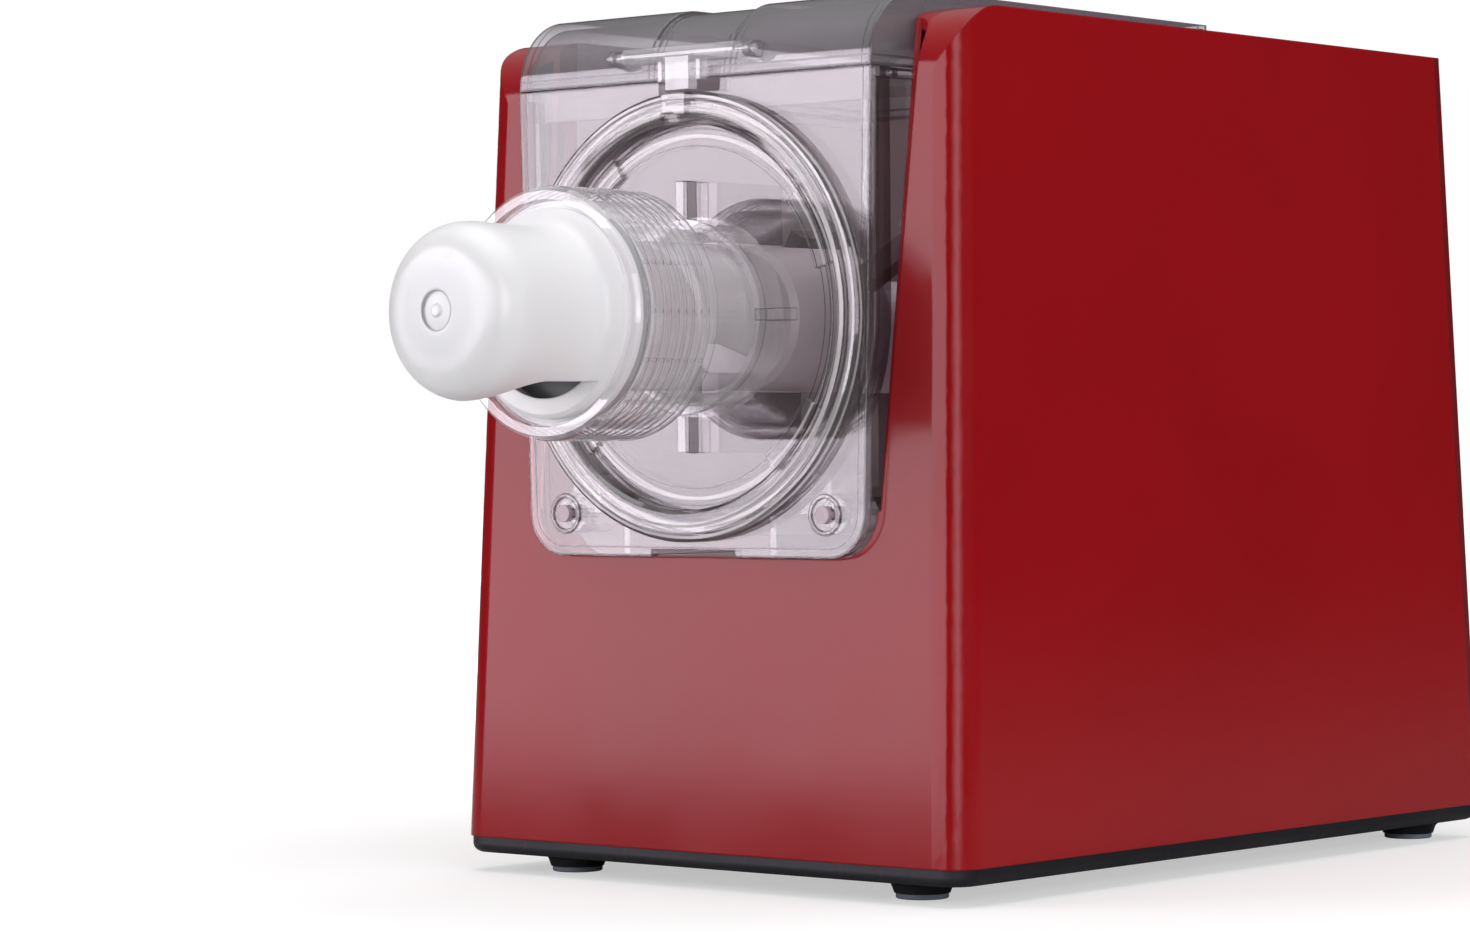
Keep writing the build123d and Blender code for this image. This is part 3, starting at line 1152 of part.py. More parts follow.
CASE_EARS = []
for ear_centre, ear_angles in EAR_SPREAD.items():
    for ear_angle in ear_angles:
        ear_out = CASE_REACH[ear_centre] + CASE_CLEAR + CASE_WALL + EAR_RADIUS / 3
        ear_turn = math.radians(ear_angle)
        ear_x = ear_centre[0] + ear_out * math.cos(ear_turn)
        CASE_EARS.append((ear_x, ear_centre[1] + ear_out * math.sin(ear_turn)))
OUTPUT_BOSS = OUTPUT_BEARING + CASE_WALL
INPUT_BOSS = INPUT_BEARING + CASE_WALL / 2
front_race = (CASE_INNER, CASE_INNER + BEARING_WIDTH)
rear_race = (CASE_BACK, CASE_BACK + BEARING_WIDTH)


def make_gearbox_case():
    case = case_solid(CASE_WALL, (CASE_FRONT, CASE_BACK))
    for x, z in CASE_EARS:
        case = case + rod(x, z, EAR_RADIUS, (CASE_FRONT, CASE_BACK))
    case = case - case_solid(0, (CASE_INNER, CASE_BACK + CUT_SPARE))
    seat = (CASE_FRONT, front_race[1])
    open_y = (CASE_INNER, CASE_BACK)
    case = case + rod(0, AXIS_Z, OUTPUT_BOSS, seat) + rod(INPUT_X, INPUT_Z, INPUT_BOSS, seat)
    case = case + rod(COMPOUND_X, COMPOUND_Z, COMPOUND_PIN + CASE_WALL, seat)
    case = case - rod(0, AXIS_Z, OUTPUT_BEARING + HOLE_GAP, open_y)
    case = case - rod(0, AXIS_Z, OUTPUT_SHAFT + LOOSE_GAP, (0, CASE_BACK))
    case = case - rod(INPUT_X, INPUT_Z, INPUT_BEARING + HOLE_GAP, open_y)
    case = case - rod(COMPOUND_X, COMPOUND_Z, COMPOUND_PIN + HOLE_GAP, (CASE_INNER - CUT_SPARE, CASE_BACK))
    for x, z in CASE_EARS:
        case = case - rod(x, z, SCREW_HOLE, (CASE_BACK - EAR_HOLE, CASE_BACK + CUT_SPARE))
    return case


def make_gearbox_lid():
    lid_y = (CASE_BACK, CASE_BACK + CASE_LID)
    cover = case_solid(CASE_WALL, lid_y)
    for x, z in CASE_EARS:
        cover = cover + rod(x, z, EAR_RADIUS, lid_y)
    front, far = CASE_BACK - CUT_SPARE, rear_race[1]
    cover = cover + rod(0, AXIS_Z, OUTPUT_BOSS, (CASE_BACK, far + HEX_NECK))
    cover = cover + rod(INPUT_X, INPUT_Z, INPUT_BOSS, rear_race)
    cover = cover - rod(0, AXIS_Z, OUTPUT_BEARING + HOLE_GAP, (front, far))
    cover = cover - rod(INPUT_X, INPUT_Z, INPUT_BEARING + HOLE_GAP, (front, far + CUT_SPARE))
    pin_room = (front, CASE_BACK + CASE_LID / 2)
    cover = cover - rod(COMPOUND_X, COMPOUND_Z, COMPOUND_PIN + HOLE_GAP, pin_room)
    for x, z in CASE_EARS:
        cover = cover - rod(x, z, SCREW_HOLE + HOLE_GAP, (front, far))
    return cover


def bearing(x, z, outer, shaft, y):
    """A ball bearing as its two races, with the ball track as a groove between them."""
    ring = tube(x, z, outer, shaft + RUNNING_GAP, y)
    middle = (outer + shaft) / 2
    for low in (y[0] - CUT_SPARE, y[1] - TRACK_DEPTH):
        groove = (low, low + TRACK_DEPTH + CUT_SPARE)
        ring = ring - tube(x, z, middle + TRACK_HALF, middle - TRACK_HALF, groove)
    return ring


nodes["bay_back_plate"] = (
    bay_solid(SHELL_WALL + BACK_PLATE_LIP, (BAY_DEPTH, CASE_FRONT), SHELL_TOP - SHELL_WALL * 4)
    - rod(0, AXIS_Z, OUTPUT_SHAFT + LOOSE_GAP * 2, (0, CASE_BACK))
)
nodes["gearbox_case"] = make_gearbox_case()
nodes["gearbox_lid"] = make_gearbox_lid()
nodes["gearbox_screws"] = Compound(
    children=[Pos(x, CASE_BACK + CASE_LID, z) * Rot(90, 0, 0) * screw(CASE_SCREW) for x, z in CASE_EARS]
)
nodes["gearbox_bearings"] = Compound(
    children=[bearing(0, AXIS_Z, OUTPUT_BEARING, OUTPUT_SHAFT, y) for y in (front_race, rear_race)]
    + [bearing(INPUT_X, INPUT_Z, INPUT_BEARING, INPUT_SHAFT, y) for y in (front_race, rear_race)]
)
toward_compound = direction_between(OUTPUT_CENTRE, COMPOUND_CENTRE)
toward_input = direction_between(INPUT_CENTRE, COMPOUND_CENTRE)
output_bore = rod(0, AXIS_Z, OUTPUT_SHAFT, (0, SHELL_DEPTH))
nodes["output_gear"] = (
    Pos(0, 0, AXIS_Z) * gear(OUTPUT_MODULE, OUTPUT_TEETH, SLOW_GEAR, toward_compound)
    + rod(0, AXIS_Z, OUTPUT_SHAFT + GEAR_HUB, (front_race[1] + SLIDE_GAP, CASE_BACK - SLIDE_GAP))
    - output_bore
)
output_y = (PADDLE_REAR + HEX_NECK, rear_race[1] - SLIDE_GAP)
nodes["output_shaft"] = rod(0, AXIS_Z, OUTPUT_SHAFT, output_y) + (
    hex_bar(HEX_SOCKET, (PADDLE_REAR - HEX_SHAFT_LENGTH, PADDLE_REAR + HEX_NECK * 2))
)
compound_pinion = gear(
    OUTPUT_MODULE, PINION_TEETH, (SLOW_GEAR[0], FAST_GEAR[0]),
    mesh_phase(PINION_TEETH, toward_compound + FULL_TURN / 2),
)
compound_wheel = gear(INPUT_MODULE, OUTPUT_TEETH, FAST_GEAR, toward_input + FULL_TURN / 2)
compound = Pos(COMPOUND_X, 0, COMPOUND_Z) * (compound_pinion + compound_wheel)
pin_bore = rod(COMPOUND_X, COMPOUND_Z, COMPOUND_PIN + RUNNING_GAP, (0, SHELL_DEPTH))
nodes["compound_gear"] = compound - pin_bore
pin_y = (CASE_INNER - CUT_SPARE, CASE_BACK + CASE_LID / 2)
nodes["compound_pin"] = rod(COMPOUND_X, COMPOUND_Z, COMPOUND_PIN, pin_y)
input_bore = rod(INPUT_X, INPUT_Z, INPUT_SHAFT, (0, SHELL_DEPTH))
pinion_y = (FAST_GEAR[0] - CUT_SPARE, FAST_GEAR[1] + CUT_SPARE)
nodes["input_pinion"] = Pos(INPUT_X, 0, INPUT_Z) * gear(
    INPUT_MODULE, PINION_TEETH, pinion_y, mesh_phase(PINION_TEETH, toward_input)
) - input_bore
belt_y = (BELT_Y - BELT_WIDTH / 2, BELT_Y + BELT_WIDTH / 2)
shaft_end = belt_y[1] + SHAFT_PAST_BELT
nodes["input_shaft"] = rod(INPUT_X, INPUT_Z, INPUT_SHAFT, (CASE_INNER + SLIDE_GAP, shaft_end))


def pulley(x, z, radius, bore):
    rim = tube(x, z, radius, bore, belt_y)
    for side in (belt_y[0] - PULLEY_CHEEK, belt_y[1]):
        rim = rim + tube(x, z, radius + PULLEY_FLANGE, bore, (side, side + PULLEY_CHEEK))
    return rim


nodes["input_pulley"] = pulley(INPUT_X, INPUT_Z, LARGE_PULLEY, INPUT_SHAFT)
for turn in range(PULLEY_HOLES):
    hole = rod(INPUT_X + LARGE_PULLEY * 0.6, INPUT_Z, LARGE_PULLEY * 0.2, (0, SHELL_DEPTH))
    nodes["input_pulley"] -= around(hole, turn * FULL_TURN / PULLEY_HOLES, INPUT_X, INPUT_Z)
nodes["motor_pulley"] = pulley(MOTOR_X, MOTOR_Z, SMALL_PULLEY, MOTOR_SHAFT)


def belt_outline(grow):
    circles = (Pos(*INPUT_CENTRE) * Circle(LARGE_PULLEY + SLIDE_GAP + grow)).edges()
    circles += (Pos(*MOTOR_CENTRE) * Circle(SMALL_PULLEY + SLIDE_GAP + grow)).edges()
    return make_hull(circles)


belt_gap = (belt_y[0] + SLIDE_GAP, belt_y[1] - SLIDE_GAP)
belt_loop = extrude(belt_outline(BELT_THICK), amount=belt_gap[1] - belt_gap[0])
belt_loop = belt_loop - extrude(belt_outline(0), amount=BELT_WIDTH)
nodes["drive_belt"] = Pos(0, belt_gap[1], 0) * Rot(90, 0, 0) * belt_loop

# ---- motor ----
ROTOR_RADIUS = 26.0
MAGNET_THICK = 7.0
MAGNET_SPLIT = 8.0
MOTOR_BEARING = 8.0
MOTOR_SEAT = 4.0
BELL_THICK = 4.0
BELL_CUP = 5.0
BELL_CUP_WALL = 2.5
BELL_HOLES = 6
BELL_HOLE = 5.0
CORE_FROM_ENDS = (24.0, 26.0)
MAGNET_FROM_ENDS = (20.0, 22.0)
WINDING_FROM_ENDS = (14.0, 17.0)
WINDING_DROP = 5.0
ROTOR_SLOTS = 12
SLOT_HALF = 1.2
SLOT_DEPTH = 7.0
COMMUTATOR_RADIUS = 11.0
COMMUTATOR_END = 5.0
BRUSH_FROM_END = (14.0, 8.0)
BRUSH_HALF = 2.5
FAN_RADIUS = 32.0
FAN_HUB = 9.0
FAN_BLADES = 9
FAN_BLADE_HALF = 0.8
FAN_FROM_BELL = (26.0, 12.0)
FAN_SHAFT = 30.0


def about_motor(radius, y):
    return rod(MOTOR_X, MOTOR_Z, radius, y)


def motor_ring(outer, inner, y):
    return tube(MOTOR_X, MOTOR_Z, outer, inner, y)


def make_bell(y, outward):
    """An end bell: a disc with a bearing cup on its outer side and air holes."""
    face = y[0] if outward < 0 else y[1]
    cup = sorted([face, face + outward * BELL_CUP])
    bell = about_motor(MOTOR_RADIUS, y) + about_motor(MOTOR_BEARING + BELL_CUP_WALL, cup)
    seat = (min(y[0], cup[0] - CUT_SPARE), max(y[1], cup[1] + CUT_SPARE))
    bell = bell - about_motor(MOTOR_BEARING + HOLE_GAP, seat)
    through = (y[0] - CUT_SPARE, y[1] + CUT_SPARE)
    hole = rod(MOTOR_X + MOTOR_RADIUS * 0.6, MOTOR_Z, BELL_HOLE, through)
    for turn in range(BELL_HOLES):
        bell = bell - around(hole, turn * FULL_TURN / BELL_HOLES, MOTOR_X, MOTOR_Z)
    return bell


front_bell = (MOTOR_FRONT - BELL_THICK, MOTOR_FRONT)
rear_bell = (MOTOR_REAR, MOTOR_REAR + BELL_THICK)
can_inner = MOTOR_RADIUS - MOTOR_WALL
nodes["motor_can"] = motor_ring(MOTOR_RADIUS, can_inner, (MOTOR_FRONT, MOTOR_REAR))
magnet_y = (MOTOR_FRONT + MAGNET_FROM_ENDS[0], MOTOR_REAR - MAGNET_FROM_ENDS[1])
magnet_split = block(
    (MOTOR_X - MAGNET_SPLIT, MOTOR_X + MAGNET_SPLIT), (0, SHELL_DEPTH),
    (MOTOR_Z - MOTOR_RADIUS, MOTOR_Z + MOTOR_RADIUS),
)
nodes["motor_magnets"] = motor_ring(can_inner, can_inner - MAGNET_THICK, magnet_y) - magnet_split
nodes["motor_end_bells"] = Compound(children=[make_bell(front_bell, -1), make_bell(rear_bell, 1)])
seats = ((front_bell[0] - MOTOR_SEAT, front_bell[1]), (rear_bell[0], rear_bell[1] + MOTOR_SEAT))
nodes["motor_bearings"] = Compound(
    children=[motor_ring(MOTOR_BEARING, MOTOR_SHAFT + RUNNING_GAP, y) for y in seats]
)
nodes["motor_shaft"] = about_motor(MOTOR_SHAFT, (front_bell[0] - FAN_SHAFT, shaft_end))


def make_armature():
    """A slotted core with a shorter bundle of windings at each end."""
    core_y = (MOTOR_FRONT + CORE_FROM_ENDS[0], MOTOR_REAR - CORE_FROM_ENDS[1])
    core = motor_ring(ROTOR_RADIUS, MOTOR_SHAFT, core_y)
    slot_z = (MOTOR_Z + ROTOR_RADIUS - SLOT_DEPTH, MOTOR_Z + ROTOR_RADIUS + CUT_SPARE)
    slot = block((MOTOR_X - SLOT_HALF, MOTOR_X + SLOT_HALF), (0, SHELL_DEPTH), slot_z)
    for turn in range(ROTOR_SLOTS):
        core = core - around(slot, turn * FULL_TURN / ROTOR_SLOTS, MOTOR_X, MOTOR_Z)
    front_end = (MOTOR_FRONT + WINDING_FROM_ENDS[0], core_y[0] + HOLE_GAP)
    rear_end = (core_y[1] - HOLE_GAP, MOTOR_REAR - WINDING_FROM_ENDS[1])
    for y in (front_end, rear_end):
        core = core + motor_ring(ROTOR_RADIUS - WINDING_DROP, MOTOR_SHAFT, y)
    return core


nodes["motor_armature"] = make_armature()
commutator_y = (MOTOR_REAR - WINDING_FROM_ENDS[1], MOTOR_REAR - COMMUTATOR_END)
nodes["commutator"] = motor_ring(COMMUTATOR_RADIUS, MOTOR_SHAFT, commutator_y)
brush_y = [MOTOR_REAR - back for back in BRUSH_FROM_END]
brush_x = (COMMUTATOR_RADIUS + SLIDE_GAP, can_inner - LOOSE_GAP)
nodes["carbon_brushes"] = Compound(
    children=[
        block(sorted(MOTOR_X + sign * edge for edge in brush_x), brush_y,
              (MOTOR_Z - BRUSH_HALF, MOTOR_Z + BRUSH_HALF))
        for sign in (-1, 1)
    ]
)


def make_fan():
    fan_y = [front_bell[0] - back for back in FAN_FROM_BELL]
    plate_y = (fan_y[1] - FAN_BLADE_HALF * 2, fan_y[1])
    fan = motor_ring(FAN_HUB, MOTOR_SHAFT, fan_y) + motor_ring(FAN_RADIUS, MOTOR_SHAFT, plate_y)
    blade_z = (MOTOR_Z + FAN_HUB - CUT_SPARE, MOTOR_Z + FAN_RADIUS)
    blade = block((MOTOR_X - FAN_BLADE_HALF, MOTOR_X + FAN_BLADE_HALF), fan_y, blade_z)
    for turn in range(FAN_BLADES):
        fan = fan + around(blade, turn * FULL_TURN / FAN_BLADES, MOTOR_X, MOTOR_Z)
    return fan


nodes["motor_fan"] = make_fan()
CRADLE_SCREW_X = 30.0
CRADLE_EDGE = 6.0
CRADLE_HALF = 26.0
CRADLE_FROM_ENDS = (10.0, 14.0)
CRADLE_SCREW_IN = 16.0
CRADLE_FOOT = 3.0
CRADLE_SADDLE = 6.0
CRADLE_SADDLE_DROP = 20.0
CRADLE_SCREW = 4.6
cradle_floor = BASE_LOW + BASE_FLOOR
cradle_y = (MOTOR_FRONT + CRADLE_FROM_ENDS[0], MOTOR_REAR - CRADLE_FROM_ENDS[1])
cradle_screw_places = [
    (MOTOR_X + sign * CRADLE_SCREW_X, place)
    for sign in (-1, 1)
    for place in (cradle_y[0] + CRADLE_SCREW_IN, cradle_y[1] - CRADLE_SCREW_IN)
]


def make_cradle():
    """Two saddles on a foot plate, with the motor lying in them."""
    half = CRADLE_SCREW_X + CRADLE_EDGE
    foot_z = (cradle_floor, cradle_floor + CRADLE_FOOT)
    cradle = block((MOTOR_X - half, MOTOR_X + half), cradle_y, foot_z)
    saddle_z = (cradle_floor, MOTOR_Z - CRADLE_SADDLE_DROP)
    for low in (cradle_y[0], cradle_y[1] - CRADLE_SADDLE):
        saddle = block((MOTOR_X - CRADLE_HALF, MOTOR_X + CRADLE_HALF), (low, low + CRADLE_SADDLE), saddle_z)
        cradle = cradle + saddle
    cradle = cradle - about_motor(MOTOR_RADIUS + HOLE_GAP, (0, SHELL_DEPTH))
    for x, y in cradle_screw_places:
        cradle = cradle - post(x, y, SCREW_HOLE + HOLE_GAP, (0, MOTOR_Z))
    return cradle


nodes["motor_cradle"] = make_cradle()
for x, y in cradle_screw_places:
    nodes["base_plate"] -= post(x, y, SCREW_HOLE, (cradle_floor - 2 * CUT_SPARE, cradle_floor + CUT_SPARE))
nodes["cradle_screws"] = Compound(
    children=[
        Pos(x, y, cradle_floor + CRADLE_FOOT) * Rot(180, 0, 0) * screw(CRADLE_SCREW)
        for x, y in cradle_screw_places
    ]
)

# ---- power board ----
POWER_WIDE = 70.0
POWER_IN = 20.0
POWER_X = (POWER_IN - SHELL_WIDTH / 2, POWER_IN - SHELL_WIDTH / 2 + POWER_WIDE)
POWER_Y = (70.0, 168.0)
POWER_Z = cradle_floor + 8.0
POWER_POST_IN = 5.0
POWER_POST_RADIUS = 4.0
TRANSFORMER_AT = (10.0, 20.0)
TRANSFORMER_SIZE = (36.0, 32.0, 28.0)
CAPACITOR_X = 56.0
CAPACITOR_YS = (26.0, 44.0, 62.0)
CAPACITOR_RADIUS = 7.0
CAPACITOR_HIGH = 22.0
power_top = POWER_Z + BOARD_THICK
power_board = block(POWER_X, POWER_Y, (POWER_Z, power_top))
power_posts = [
    (x, y)
    for x in (POWER_X[0] + POWER_POST_IN, POWER_X[1] - POWER_POST_IN)
    for y in (POWER_Y[0] + POWER_POST_IN, POWER_Y[1] - POWER_POST_IN)
]
for x, y in power_posts:
    nodes["base_plate"] += post(x, y, POWER_POST_RADIUS, (cradle_floor - LOOSE_GAP, POWER_Z))
    nodes["base_plate"] -= post(x, y, SCREW_HOLE, (cradle_floor + CUT_SPARE, POWER_Z + CUT_SPARE))
    power_board = power_board - post(x, y, SCREW_HOLE + HOLE_GAP, (0, POWER_Z * 2))
nodes["power_board"] = power_board
power_board_screws = [Pos(x, y, power_top) * Rot(180, 0, 0) * screw(BOARD_SCREW) for x, y in power_posts]
nodes["board_screws"] = Compound(children=panel_board_screws + power_board_screws)
transformer_x = (POWER_X[0] + TRANSFORMER_AT[0], POWER_X[0] + TRANSFORMER_AT[0] + TRANSFORMER_SIZE[0])
transformer_y = (POWER_Y[0] + TRANSFORMER_AT[1], POWER_Y[0] + TRANSFORMER_AT[1] + TRANSFORMER_SIZE[1])
transformer = block(transformer_x, transformer_y, (power_top, power_top + TRANSFORMER_SIZE[2]))
transformer = fillet(transformer.edges().filter_by(Axis.Z), HUB_CHAMFER)
capacitors = [
    post(POWER_X[0] + CAPACITOR_X, POWER_Y[0] + y, CAPACITOR_RADIUS, (power_top, power_top + CAPACITOR_HIGH))
    for y in CAPACITOR_YS
]
nodes["power_components"] = Compound(children=[transformer] + capacitors)
seal_y = (BOWL_LENGTH - BUSH_LENGTH, BOWL_LENGTH - BUSH_LENGTH + SEAL_WIDTH)
nodes["bowl_shaft_seal"] = tube(0, AXIS_Z, BUSH_RADIUS, PADDLE_CORE + RUNNING_GAP, seal_y)
BOWL_SCREW = 11.0
nodes["bowl_screws"] = Compound(
    children=[
        Pos(sign * PLATE_BOSS_X, BOWL_PLATE_FRONT, PLATE_BOSS_Z) * Rot(-90, 0, 0) * screw(BOWL_SCREW)
        for sign in (-1, 1)
    ]
)


if __name__ == "__main__":
    for name, part in nodes.items():
        export_step(Pos(0, ROW_SHIFT, 0) * part, f"parts/{name}.step")
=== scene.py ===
import math

import bpy
from mathutils import Matrix, Vector


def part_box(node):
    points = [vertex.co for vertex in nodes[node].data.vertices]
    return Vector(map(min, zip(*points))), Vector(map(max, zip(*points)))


# ---- camera ----
AZIMUTH, PITCH, ROLL = (math.radians(angle) for angle in (40.652, -0.393, -0.45))
CAMERA_PLACE = (0.915637, -1.140738, 0.144212)
LENS, SENSOR_WIDTH = 104.87, 36
CLIP_START, CLIP_END = 0.05, 50

look = Vector((-math.sin(AZIMUTH) * math.cos(PITCH), math.cos(AZIMUTH) * math.cos(PITCH), math.sin(PITCH)))
level_right = Vector((math.cos(AZIMUTH), math.sin(AZIMUTH), 0))
level_up = level_right.cross(look)
right = level_right * math.cos(ROLL) + level_up * math.sin(ROLL)
up = level_up * math.cos(ROLL) - level_right * math.sin(ROLL)

camera_data = bpy.data.cameras.new("camera")
camera_data.lens = LENS
camera_data.sensor_width = SENSOR_WIDTH
camera_data.clip_start, camera_data.clip_end = CLIP_START, CLIP_END
camera = bpy.data.objects.new("camera", camera_data)
camera.matrix_world = Matrix.Translation(CAMERA_PLACE) @ Matrix((right, up, -look)).transposed().to_4x4()
bpy.context.scene.collection.objects.link(camera)
bpy.context.scene.camera = camera

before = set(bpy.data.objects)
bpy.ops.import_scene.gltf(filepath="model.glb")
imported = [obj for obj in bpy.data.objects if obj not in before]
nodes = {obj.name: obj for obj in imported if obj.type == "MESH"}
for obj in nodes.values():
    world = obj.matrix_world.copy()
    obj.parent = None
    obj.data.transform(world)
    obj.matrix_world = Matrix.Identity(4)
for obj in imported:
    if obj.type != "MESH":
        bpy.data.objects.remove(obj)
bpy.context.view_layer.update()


# ---- node trees ----
class Shader:
    """The node tree of a material or of the world, with short ways to add and join nodes."""

    def __init__(self, owner, output="ShaderNodeOutputMaterial", place="Object"):
        owner.use_nodes = True
        self.owner = owner
        self.tree = owner.node_tree
        self.tree.nodes.clear()
        self.output = self.add(output)
        self.place = self.add("ShaderNodeTexCoord").outputs[place]

    def add(self, kind, sockets=None, **settings):
        """A node of this kind with its settings made and its sockets filled."""
        node = self.tree.nodes.new(kind)
        for key, value in settings.items():
            setattr(node, key, value)
        for socket, value in (sockets or {}).items():
            self.put(node, socket, value)
        return node

    def put(self, node, socket, value):
        """Join another node's output to this socket, or set it to a number, a vector or a colour."""
        target = node.inputs[socket]
        if isinstance(value, bpy.types.NodeSocket):
            self.tree.links.new(value, target)
        elif target.type == "RGBA":
            target.default_value = (*value, 1)
        else:
            target.default_value = value

    def axes(self):
        """The x, y and z of the place."""
        return self.add("ShaderNodeSeparateXYZ", {0: self.place}).outputs

    def noise(self, scale, detail=4.0, stretch=(1, 1, 1)):
        mapping = self.add("ShaderNodeMapping", {"Vector": self.place, "Scale": stretch})
        sockets = {"Vector": mapping.outputs[0], "Scale": scale, "Detail": detail}
        return self.add("ShaderNodeTexNoise", sockets).outputs["Fac"]

    def spread(self, value, low, high, start=0.3, end=0.7):
        """Low where the value is at start or below, high at end or beyond, and a straight run between."""
        sockets = {"Value": value, "From Min": start, "From Max": end, "To Min": low, "To Max": high}
        return self.add("ShaderNodeMapRange", sockets).outputs[0]

    def mix(self, share, first, second):
        """The first colour with this share of the second."""
        return self.add("ShaderNodeMix", {0: share, 6: first, 7: second}, data_type="RGBA").outputs[2]

    def bump(self, height, strength, distance, normal):
        sockets = {"Height": height, "Strength": strength, "Distance": distance, "Normal": normal}
        return self.add("ShaderNodeBump", sockets).outputs[0]

    def maths(self, operation, *values):
        return self.add("ShaderNodeMath", dict(enumerate(values)), operation=operation).outputs[0]

    def vector_maths(self, operation, *values):
        """An operation on vectors that gives a number."""
        node = self.add("ShaderNodeVectorMath", dict(enumerate(values)), operation=operation)
        return node.outputs["Value"]

    def length(self, across, along):
        """The length of a flat vector with these two parts."""
        flat = self.add("ShaderNodeCombineXYZ", {"X": across, "Y": along})
        return self.vector_maths("LENGTH", flat.outputs[0])

    def overlap(self, first, *others):
        """1 where every one of these masks is 1."""
        for mask in others:
            first = self.maths("MULTIPLY", first, mask)
        return first

    def blend(self, share, first, second):
        """The first shader with this share of the second."""
        return self.add("ShaderNodeMixShader", {0: share, 1: first, 2: second}).outputs[0]

    def rounded(self, radius):
        """The normal, with edges softened to this radius."""
        return self.add("ShaderNodeBevel", {"Radius": radius}, samples=4).outputs[0]

    def finish(self, surface):
        self.put(self.output, "Surface", surface)
        return self.owner


def linear(red, green, blue):
    """An sRGB colour, 0 to 255, as linear light."""
    def one(c):
        c /= 255
        return c / 12.92 if c <= 0.04045 else ((c + 0.055) / 1.055) ** 2.4
    return (one(red), one(green), one(blue))


# ---- where the bay, its painted shade and the fine lines of painted shade and highlight are ----
# A line is given as (place, half width), in metres.
BOWL_LOW, BOWL_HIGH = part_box("mixing_bowl")
PLATE_LOW, PLATE_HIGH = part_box("bowl_front_plate")
DISC_LOW, DISC_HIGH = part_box("front_disc")
LID_LOW, LID_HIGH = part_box("lid")
NUT_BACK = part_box("nozzle_nut")[1][1]

BOWL_FRONT = BOWL_LOW[1]
BOWL_WALL = 0.0600          # the bowl's side walls lie farther out than this
# painted shade: dark upright lines where the bowl's side walls show dark behind the plate's edges
BOWL_SHADE_LINES = ((0.0012, 0.0007), (0.0046, 0.0009), (0.0098, 0.0016))
LIP_HEIGHT, LIP_THICK = 0.0103, 0.0024

SIDE_DRAFT = 0.0262         # how far each side of the bay and the plate leans out per metre of height
PLATE_HALF = PLATE_HIGH[0] - SIDE_DRAFT * (PLATE_HIGH[2] - PLATE_LOW[2])
PLATE_CORNER = 0.0147
# painted shade: dark lines where the plate's lower corners show dark
PLATE_SHADE_LINES = ((PLATE_CORNER - 0.0005, 0.0003), (PLATE_CORNER - 0.0030, 0.00025))

FLOOR_GAP, SIDE_GAP, BACK_GAP = 0.0003, 0.0008, 0.002
BAY_FLOOR = BOWL_LOW[2] - FLOOR_GAP
BAY_HALF = PLATE_HALF + SIDE_GAP
BAY_BACK = LID_HIGH[1] + BACK_GAP
BAY_EDGE = 0.0004           # the mask reaches this far past the bay's walls
FRONT_FOOT = -0.0964        # about where the housing's leaning front meets the floor
FRONT_SLOPE = 0.0452        # about how far the front leans back per metre of height
RIM_DEPTH = 0.018           # the bay's walls are painted red this far behind the front
SHADE_WIDE = 0.0042           # the painted shade, a slate edge, on each side of the bay
SHADE_START = 0.0126          # the painted shade starts this far above the bay's floor

AXIS_Z = (DISC_LOW[2] + DISC_HIGH[2]) / 2
# painted shade and painted highlight: dark rings where the clear disc's edges show dark, pale rings for its
# reflections
SHADE_RINGS = ((0.0724, 0.0004), (0.0701, 0.0003), (0.0645, 0.0004), (0.0612, 0.0003), (0.0556, 0.0002))
HIGHLIGHT_RINGS = ((0.0714, 0.0004), (0.0675, 0.0006), (0.0588, 0.0005))
CORE_RADIUS = 0.0245

RIDGE_FOOT = 0.0374         # the nut's ridges stand farther from the axis than this
RIDGES, RIDGE_PITCH = 9, 0.0036
RIDGES_START = 0.0024       # the first ridge is this far from the nut's back
SHADOW_SHIFT = 0.06         # a shadow lies this share of the pitch in front of its ridge's rear edge
SHADOW_HALF = 0.00022
SHADOW_LINES = tuple((NUT_BACK - RIDGES_START - (k + SHADOW_SHIFT) * RIDGE_PITCH, SHADOW_HALF)
                     for k in range(RIDGES + 1))

LID_CHANNEL = 0.0175
# painted shade: dark lines where the lid's edges and channel show dark
LID_LOW_LINES = ((LID_LOW[2] + 0.0005, 0.0004), (LID_LOW[2] + 0.0032, 0.0003))
LID_SIDE_LINES = ((LID_HIGH[0] - 0.0006, 0.0004), (LID_HIGH[0] - 0.0036, 0.0003),
                  (LID_CHANNEL, 0.0005), (LID_CHANNEL - 0.0024, 0.0003))


def any_line(s, value, lines):
    """1 where the value lies on one of the lines."""
    total = 0.0
    for place, half in lines:
        total = s.maths("MAXIMUM", s.maths("COMPARE", value, place, half), total)
    return total


def from_axis(s):
    """The distance from the axis of the disc, the nut and the paddle."""
    x, _, z = s.axes()
    return s.length(x, s.maths("SUBTRACT", z, AXIS_Z))


def inside_bay(s, wider=0.0, higher=0.0):
    """1 on the walls of the bowl's bay, or in a bay that is wider to each side and starts higher up."""
    x, y, z = s.axes()
    half = s.maths("MULTIPLY_ADD", z, SIDE_DRAFT, BAY_HALF - BAY_FLOOR * SIDE_DRAFT + BAY_EDGE + wider)
    front = s.maths("MULTIPLY_ADD", z, FRONT_SLOPE, FRONT_FOOT + RIM_DEPTH)
    return s.overlap(s.maths("LESS_THAN", s.maths("ABSOLUTE", x), half),
                     s.maths("GREATER_THAN", y, front),
                     s.maths("LESS_THAN", y, BAY_BACK),
                     s.maths("GREATER_THAN", z, BAY_FLOOR - BAY_EDGE + higher))


def front_lip(s):
    """1 on the strip along the bowl's upper front edge."""
    _, y, z = s.axes()
    return s.overlap(s.maths("GREATER_THAN", z, BOWL_HIGH[2] - LIP_HEIGHT),
                     s.maths("LESS_THAN", y, BOWL_FRONT + LIP_THICK))


